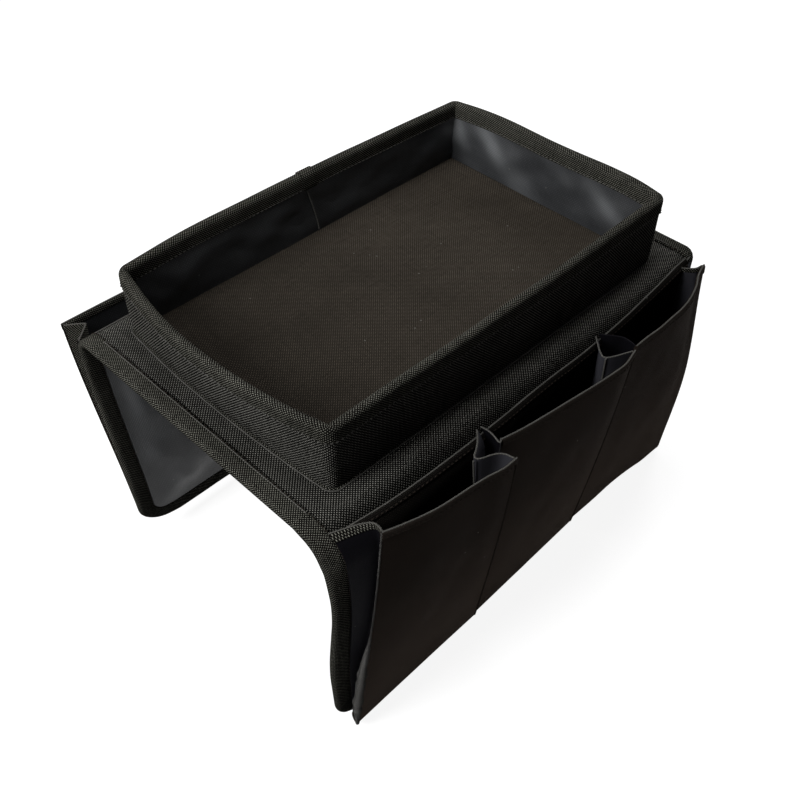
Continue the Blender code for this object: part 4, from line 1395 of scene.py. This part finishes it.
class ORGANIZER_OT_pockets(bpy.types.Operator):
    """Make the pockets: backing, fronts, hems and pleated sides"""

    bl_idname = "organizer.pockets"
    bl_label = "Pockets"

    def execute(self, context):
        for flap in (RIGHT, LEFT):
            self.backing(flap)
            for number in range(len(flap.pockets)):
                self.front(flap, number)
                for end in (0, 1):
                    self.pleat(flap, number, end)
        return {"FINISHED"}

    def backing(self, flap):
        """The cloth that the pockets are sewn on, its hem tape and the bright cord on it."""
        side = flap.side
        end = flap.cloth - BINDING_WIDTH - GAP
        corner = FLAP_CORNER - BINDING_WIDTH - GAP
        straight = HALF_LENGTH - BINDING_WIDTH - GAP
        low_end, high_end = strip_ends(flap)
        turn = np.linspace(0, math.pi / 2, 9)[1:]
        rows = np.linspace(BACKING_TOP - GAP, end - corner, 70)
        rows = np.concatenate([rows, end - corner * (1 - np.sin(turn))])[:, None]
        left = np.clip(corner - (end - rows), 0, corner)
        half = straight - corner + np.sqrt(np.maximum(corner**2 - left**2, 0))
        low, high = np.maximum(low_end, -half), np.minimum(high_end, half)
        y = low + (high - low) * np.linspace(0, 1, 121)[None, :]
        left_over = (end - rows) / (end - rows[0])
        rows = rows + (hem_line(flap, y) + HEM_WIDTH - rows[0]) * left_over**2
        near = side_point(flap, rows, y, -BACKING_OUT)
        far = side_point(flap, rows, y, -0.0002)
        piece = sheet_piece(f"{side}_backing_cloth", near, far, "backing_cloth", y, rows)
        dress(piece, "pocket_cloth", f"{side}_pocket_backing", body=f"{side}_flap")
        inset = np.array([HEM_WIDTH, 0.0030, 0.0015, 0.0006, 0.0, 0.0, 0.0008, HEM_WIDTH])
        lift = np.array([0.9, 1.0, 1.0, 0.95, 0.7, 0.1, 0.05, 0.05]) * (BACKING_OUT + HEM_TAPE)
        y = np.linspace(max(low_end, -straight), min(high_end, straight), 151)
        along = hem_line(flap, y)[:, None] + inset
        stations = side_point(flap, along, y[:, None], -lift[None, :] - 0.0001)
        gone = way_gone(np.stack([inset, lift], axis=1))
        piece = tape_piece(f"{side}_backing_hem_tape", stations, "backing_cloth", y[:, None],
                           gone[None, :])
        dress(piece, "edge_tape", f"{side}_backing_hem", body=f"{side}_flap")
        top = side_point(flap, hem_line(flap, y), y, -BACKING_OUT)
        cord(f"{side}_backing_cord", top, EDGE_CORD, f"{side}_flap")

    def front(self, flap, number):
        side = flap.side
        span = pocket_spans(flap)[number]
        foot, edge = front_foot(flap, span), front_edge(flap)
        upper = np.linspace(foot, edge, 76)
        curl = np.linspace(-math.pi, 0, 13)[:-1]
        heights = np.concatenate([np.full_like(curl, foot), upper])[:, None]
        turns = np.concatenate([curl, np.zeros_like(upper)])[:, None]
        share = np.linspace(0, 1, 61)[None, :]
        near = front_point(flap, number, share, heights, turns, POCKET_CLOTH)
        far = front_point(flap, number, share, heights, turns, 0.0)
        gone = way_gone(near[:, 30])
        name = f"{side}_pocket_{number + 1}"
        piece = sheet_piece(f"{name}_cloth", near, far, "pocket_cloth", near[..., 1], gone[:, None])
        dress(piece, "pocket_cloth", f"{name}_front", body=name)
        self.hem(flap, number, name)
        if flap.sign < 0:
            self.inside_face(flap, number, name)

    def inside_face(self, flap, number, name):
        """The coated back of a front's cloth, inside the pocket and below its tape."""
        foot, edge = front_foot(flap, pocket_spans(flap)[number]), front_edge(flap)
        heights = np.linspace(foot + 0.005, edge - HEM_WIDTH - 0.0004, 60)[:, None]
        share = np.linspace(0.05, 0.95, 61)[None, :]
        near = front_point(flap, number, share, heights, 0.0, -0.0002)
        far = front_point(flap, number, share, heights, 0.0, -0.0006)
        piece = sheet_piece(f"{name}_coating", near, far, "coated_grey", near[..., 1], heights)
        dress(piece, "coated_grey", body=name)

    def hem(self, flap, number, name):
        """The tape folded over a mouth, its cord, and on the right the front's own folds."""
        wrap = GAP + HEM_TAPE
        turn = np.linspace(0, math.pi, 7)
        radius = POCKET_CLOTH / 2 + wrap
        legs = np.array([HEM_WIDTH, 0.0028, 0.0014])
        inset = np.concatenate([legs, -wrap + radius - radius * np.sin(turn), legs[::-1]])
        thick = np.concatenate([[POCKET_CLOTH + wrap] * 3,
                                POCKET_CLOTH / 2 + radius * np.cos(turn), [-wrap] * 3])
        share = np.linspace(0.0, 1.0, 81)[:, None]
        heights = front_edge(flap) - inset[None, :]
        stations = front_point(flap, number, share, heights, 0.0, thick[None, :])
        across = way_gone(np.stack([inset, thick], axis=1))
        piece = tape_piece(f"{name}_hem_tape", stations, flap.hem_finish,
                           way_gone(stations[:, 0])[:, None], across[None, :])
        dress(piece, "edge_tape", f"{name}_hem", body=name)
        top = front_point(flap, number, share[:, 0], front_edge(flap) + wrap, 0.0, POCKET_CLOTH / 2)
        cord(f"{name}_mouth_cord", top, EDGE_CORD, name)
        if flap.sign > 0:
            if number == 0:
                self.rolled_edge(flap, name)
            if number < len(flap.pockets) - 1:
                span = pocket_spans(flap)[number]
                height = np.linspace(front_edge(flap), front_foot(flap, span), 80)
                path = front_point(flap, number, 1.0, height, 0.0, POCKET_CLOTH, False)
                cord(f"{name}_back_fold", path, FOLD_CORD, name, "hem_cloth")

    def rolled_edge(self, flap, name):
        """The first pocket's front edge, rolled: thin at the mouth and full at the foot."""
        span = pocket_spans(flap)[0]
        height = np.linspace(front_edge(flap) + 0.0005, front_foot(flap, span) - 0.004, 90)
        rise = rise_share(flap, span, height)
        path = front_point(flap, 0, 0.0, height, 0.0, POCKET_CLOTH / 2, False)
        curl = ease((0.52 - rise) / 0.22) * (0.35 + 0.65 * ease(rise / 0.12))
        ragged = 1 + 0.3 * soft_noise(height, 0.0, 0.0025, 41)
        ragged = ragged + 0.2 * soft_noise(height, 0.0, 0.001, 42)
        radius = 0.0006 + 0.0024 * curl * ragged
        path[:, 1] -= 0.0026 * curl
        cord(f"{name}_rolled_edge", path, radius, name, "frayed_edge")

    def pleat(self, flap, number, end):
        """A gusset at one side of a pocket, with its tape and bright edges."""
        name = f"{flap.side}_pocket_{number + 1}"
        word = ("front", "back")[end]
        span, pocket = pocket_spans(flap)[number], flap.pockets[number]
        foot = front_foot(flap, span)
        upper = np.linspace(foot, front_edge(flap), 70)[1:]
        curl = -math.pi * np.array([0.45, 0.4, 0.3, 0.2, 0.1, 0.0])
        height = np.concatenate([np.full_like(curl, foot), upper])
        turn = np.concatenate([curl, np.zeros_like(upper)])
        up = height + (pocket.drop[end] - 0.0006) * np.sin(turn)
        up = up + tuck_at(flap, span[end], (0.2 - rise_share(flap, span, height)) / 0.2)
        line = cut_corners(pleat_line(flap, number, end, height, turn))
        piece = self.folded(flap, f"{name}_{word}_gusset", line, up, POCKET_CLOTH / 2,
                            pocket.inside[end])
        dress(piece, "pocket_cloth", f"{name}_{word}_pleat")
        self.open_with(piece, flap, number, end)
        if pocket.bound[end]:
            band = up > up[-1] - flap.pleat_tape
            tape = self.folded(flap, f"{name}_{word}_gusset_tape", line[band], up[band] + 0.0002,
                               POCKET_CLOTH / 2 + 0.0003, "edge_tape")
            self.open_with(dress(tape, "edge_tape"), flap, number, end)
        if flap.sign > 0 and end == 1:
            deepest = 1 + int(np.argmax([deep for _, deep in pocket.pleats[end]]))
            fold = pleat_line(flap, number, end, height, turn)[len(curl):, deepest]
            path = np.stack([flap.sign * fold[:, 1], fold[:, 0], up[len(curl):]], axis=-1)
            path[:, 1] += 0.0012
            made = cord(f"{name}_{word}_fold_edge", path[12:], FOLD_CORD)
            self.open_with(made, flap, number, end)
        if pocket.corded[end]:
            last = line[-1]
            top = np.full(len(last), up[-1])
            path = np.stack([flap.sign * last[:, 1], last[:, 0], top], axis=-1)
            self.open_with(cord(f"{name}_{word}_gusset_cord", path, EDGE_CORD), flap, number, end)

    def folded(self, flap, name, line, up, half, slot):
        """The closed sheet round rows of centre points (y, out) at their heights."""
        sides = []
        for face in thicken(line, half):
            rows = np.broadcast_to(up[:, None], face.shape[:2])
            sides.append(np.stack([flap.sign * face[..., 1], face[..., 0], rows], axis=-1))
        step = np.linalg.norm(np.diff(line, axis=1), axis=2)
        across = np.concatenate([np.zeros((len(line), 1)), np.cumsum(step, axis=1)], axis=1)
        return sheet_piece(name, *sides, slot, across, up[:, None])

    def open_with(self, piece, flap, number, end):
        """Bakes the piece's transform into its mesh."""
        span = pocket_spans(flap)[number]
        foot, edge = front_foot(flap, span), front_edge(flap)
        share = 0.05 if end == 0 else 0.95
        low = front_point(flap, number, share, foot, 0.0, 0.0, False)
        high = front_point(flap, number, share, edge, 0.0, 0.0, False)
        wall = flap.sign * wall_out(flap, span[end], edge, SEAT_OUT)
        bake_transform(piece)


class ORGANIZER_OT_stitches(bpy.types.Operator):
    """Make the rows of stitches along the tapes, the rim, the hems and the seams"""

    bl_idname = "organizer.stitches"
    bl_label = "Stitches"

    def execute(self, context):
        self.sewing = context.scene.organizer_sewing
        self.tray_rows()
        self.top_rows()
        for flap in (RIGHT, LEFT):
            self.side_rows(flap)
            self.hem_rows(flap)
        return {"FINISHED"}

    def row(self, path, outward):
        """One row of stitches with the sewing settings."""
        s = self.sewing
        return stitch_row(path, outward, s.stitch_length, s.stitch_spacing, s.thread_radius)

    def thread(self, name, rows, finish="sewing_thread"):
        """Rows of stitches as one piece."""
        points, quads, uv = join_rows(rows)
        return dress(make_piece(name, points, quads, finish, uv), "edge_tape")

    def tray_rows(self):
        """The rows below the rim tape's two edges."""
        height = TRAY_RIM - RIM_TAPE_WIDTH + self.sewing.edge_inset - 0.0006
        rows = []
        for inset, sign in ((-WRAP, 1), (WALL + WRAP, -1)):
            flat, ways, _ = tray_loop(inset)
            flat, ways = np.concatenate([flat, flat[:1]]), np.concatenate([ways, ways[:1]])
            level = np.full((len(flat), 1), height)
            path = tray_give(np.concatenate([flat, level], axis=1))
            rows.append(self.row(path, sign * np.concatenate([ways, 0 * level], axis=1)))
        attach(self.thread("tray_rim_stitches", rows), "base")

    def top_rows(self):
        """The row along each end tape of the panel."""
        x = np.linspace(-HALF_FLAT + 0.002, HALF_FLAT - 0.002, 80)
        rows = []
        for side in (-1, 1):
            y = np.full_like(x, side * (SHEET_HALF - BINDING_LEG + self.sewing.edge_inset))
            path = top_point(x, y, -WRAP)
            rows.append(self.row(path, np.tile([0.0, 0.0, 1.0], (len(x), 1))))
        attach(self.thread("panel_edge_stitches", rows, "hem_cloth"), "base")

    def side_rows(self, flap):
        """The rows along a side's edge tape, outside and inside."""
        places, ways, _ = side_route(flap)
        at = places + ways * (BINDING_LEG - self.sewing.edge_inset)

        def outside(along, y):
            return side_point(flap, along, y, -WRAP)

        def inside(along, y):
            return side_point(flap, along, y, BOUND_STACK + WRAP)

        rows = []
        for face, sign in ((outside, flap.sign), (inside, -flap.sign)):
            square = outward_of(face, at) * sign
            square = square * self.facing(square, sign)
            rows.append(self.row(face(at[:, 0], at[:, 1]), square))
        fold_with(self.thread(f"{flap.side}_edge_stitches", rows, "hem_cloth"))

    def facing(self, square, sign):
        """1 or -1, so that the directions point off the face and not into it."""
        return 1.0 if square[len(square) // 2][0] * sign > 0 else -1.0

    def hem_rows(self, flap):
        """The rows along the backing's hem and the pockets' hems."""
        low_end, high_end = strip_ends(flap)
        straight = HALF_LENGTH - BINDING_WIDTH - GAP
        y = np.linspace(max(low_end, -straight) + 0.001, min(high_end, straight) - 0.001, 160)
        along = hem_line(flap, y) + HEM_STITCHES

        def face(a, b):
            return side_point(flap, a, b, -BACKING_OUT - HEM_TAPE - 0.0001)

        square = outward_of(face, np.stack([along, y], axis=1))
        square *= np.sign(square[:, :1] * flap.sign + 1e-9)
        rows = [self.row(face(along, y), square)]
        made = self.thread(f"{flap.side}_backing_stitches", rows, "hem_cloth")
        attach(made, f"{flap.side}_flap")
        for number in range(len(flap.pockets)):
            share = np.linspace(0.01, 0.99, 90)
            height = np.full_like(share, front_edge(flap) - HEM_STITCHES)
            path = front_point(flap, number, share, height, 0.0, POCKET_CLOTH + GAP + HEM_TAPE)
            square = np.tile([float(flap.sign), 0.0, 0.0], (len(share), 1))
            name = f"{flap.side}_pocket_{number + 1}"
            made = self.thread(f"{name}_hem_stitches", [self.row(path, square)], "hem_cloth")
            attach(made, name)


class ORGANIZER_OT_stage(bpy.types.Operator):
    """Make the floor, the lamps, the room's light and the camera"""

    bl_idname = "organizer.stage"
    bl_label = "Stage"

    def execute(self, context):
        stage = context.scene.organizer_stage
        self.floor(context)
        self.room(context, stage)
        self.lamp("key_lamp", (-0.22, -1.25, 0.90), 0.7, stage.key_power)
        self.lamp("top_lamp", (-0.12, 0.15, 1.5), 0.5, stage.top_power)
        self.lamp("back_lamp", (-0.30, 1.25, 0.90), 0.6, stage.back_power)
        self.camera(context, stage)
        context.scene.view_settings.view_transform = "Standard"
        return {"FINISHED"}

    def white_to_camera(self, t):
        """1 where the camera sees a surface straight on, in a mirror or through glass."""
        path = t.add("ShaderNodeLightPath")
        seen = t.maths("ADD", path.outputs["Is Camera Ray"], path.outputs["Is Glossy Ray"])
        return t.maths("ADD", seen, path.outputs["Is Transmission Ray"], clamp=True)

    def floor(self, context):
        low = float(frame_box[0][2]) - 0.0015
        points = np.array([[-4, -4, low], [4, -4, low], [4, 4, low], [-4, 4, low]], float)
        t, shader = start_finish("pale_floor", 0.9, 0)
        shader["Base Color"].default_value = (0.3, 0.3, 0.3, 1)
        shader["Emission Color"].default_value = (1, 1, 1, 1)
        t.join(t.maths("MULTIPLY", self.white_to_camera(t), 0.90), shader["Emission Strength"])
        mesh = bpy.data.meshes.new("floor")
        mesh.from_pydata(points.tolist(), [], [(0, 1, 2, 3)])
        mesh.materials.append(bpy.data.materials["pale_floor"])
        made = bpy.data.objects.new("floor", mesh)
        context.scene.collection.objects.link(made)

    def room(self, context, stage):
        world = bpy.data.worlds.new("room")
        world.use_nodes = True
        t = Tree(world.node_tree)
        light = world.node_tree.nodes["Background"]
        light.inputs["Color"].default_value = (1, 1, 1, 1)
        room = stage.room_light
        strength = t.maths("MULTIPLY_ADD", self.white_to_camera(t), 1 - room, room)
        t.join(strength, light.inputs["Strength"])
        context.scene.world = world

    def lamp(self, name, place, size, power):
        light = bpy.data.lights.new(name, "AREA")
        light.shape = "DISK"
        light.size = size
        light.energy = power
        made = bpy.data.objects.new(name, light)
        made.location = place
        aim = Vector((0, 0, -0.05)) - Vector(place)
        made.rotation_euler = aim.to_track_quat("-Z", "Y").to_euler()
        bpy.context.scene.collection.objects.link(made)

    def camera(self, context, stage):
        az, el, roll = stage.azimuth, stage.elevation, stage.roll
        back = Vector((math.sin(az) * math.cos(el), -math.cos(az) * math.cos(el), math.sin(el)))
        right = Vector((math.cos(az), math.sin(az), 0))
        up = back.cross(right)
        right, up = (
            right * math.cos(roll) + up * math.sin(roll),
            up * math.cos(roll) - right * math.sin(roll),
        )
        lens = bpy.data.cameras.new("camera")
        lens.sensor_width = 36
        lens.lens = stage.lens
        lens.clip_start, lens.clip_end = 0.01, 50
        made = bpy.data.objects.new("camera", lens)
        turn = Matrix((right, up, back)).transposed()
        made.matrix_world = Matrix.Translation(Vector(stage.camera_place)) @ turn.to_4x4()
        context.scene.collection.objects.link(made)
        context.scene.camera = made


class ORGANIZER_PT_panel(bpy.types.Panel):
    """Lists the organizer's settings and pieces"""

    bl_idname = "ORGANIZER_PT_panel"
    bl_label = "Armrest organizer"
    bl_space_type = "VIEW_3D"
    bl_region_type = "UI"
    bl_category = "Organizer"

    def draw(self, context):
        layout = self.layout
        for group in ("organizer_cloth", "organizer_sewing", "organizer_stage"):
            settings = getattr(context.scene, group)
            box = layout.box()
            for name in settings.__annotations__:
                box.prop(settings, name)
        for operator in OPERATORS:
            layout.operator(operator.bl_idname)


OPERATORS = (
    ORGANIZER_OT_finishes,
    ORGANIZER_OT_top_panel,
    ORGANIZER_OT_flaps,
    ORGANIZER_OT_tray,
    ORGANIZER_OT_pockets,
    ORGANIZER_OT_stitches,
    ORGANIZER_OT_stage,
)
SETTINGS = (OrganizerCloth, OrganizerSewing, OrganizerStage)


def register():
    for one in (*SETTINGS, *OPERATORS, ORGANIZER_PT_panel):
        bpy.utils.register_class(one)
    pointer = bpy.props.PointerProperty
    bpy.types.Scene.organizer_cloth = pointer(type=OrganizerCloth)
    bpy.types.Scene.organizer_sewing = pointer(type=OrganizerSewing)
    bpy.types.Scene.organizer_stage = pointer(type=OrganizerStage)


def unregister():
    del bpy.types.Scene.organizer_stage
    del bpy.types.Scene.organizer_sewing
    del bpy.types.Scene.organizer_cloth
    for one in reversed((*SETTINGS, *OPERATORS, ORGANIZER_PT_panel)):
        bpy.utils.unregister_class(one)


def main():
    register()
    for operator in OPERATORS:
        area, name = operator.bl_idname.split(".")
        getattr(getattr(bpy.ops, area), name)()


if __name__ == "__main__":
    main()
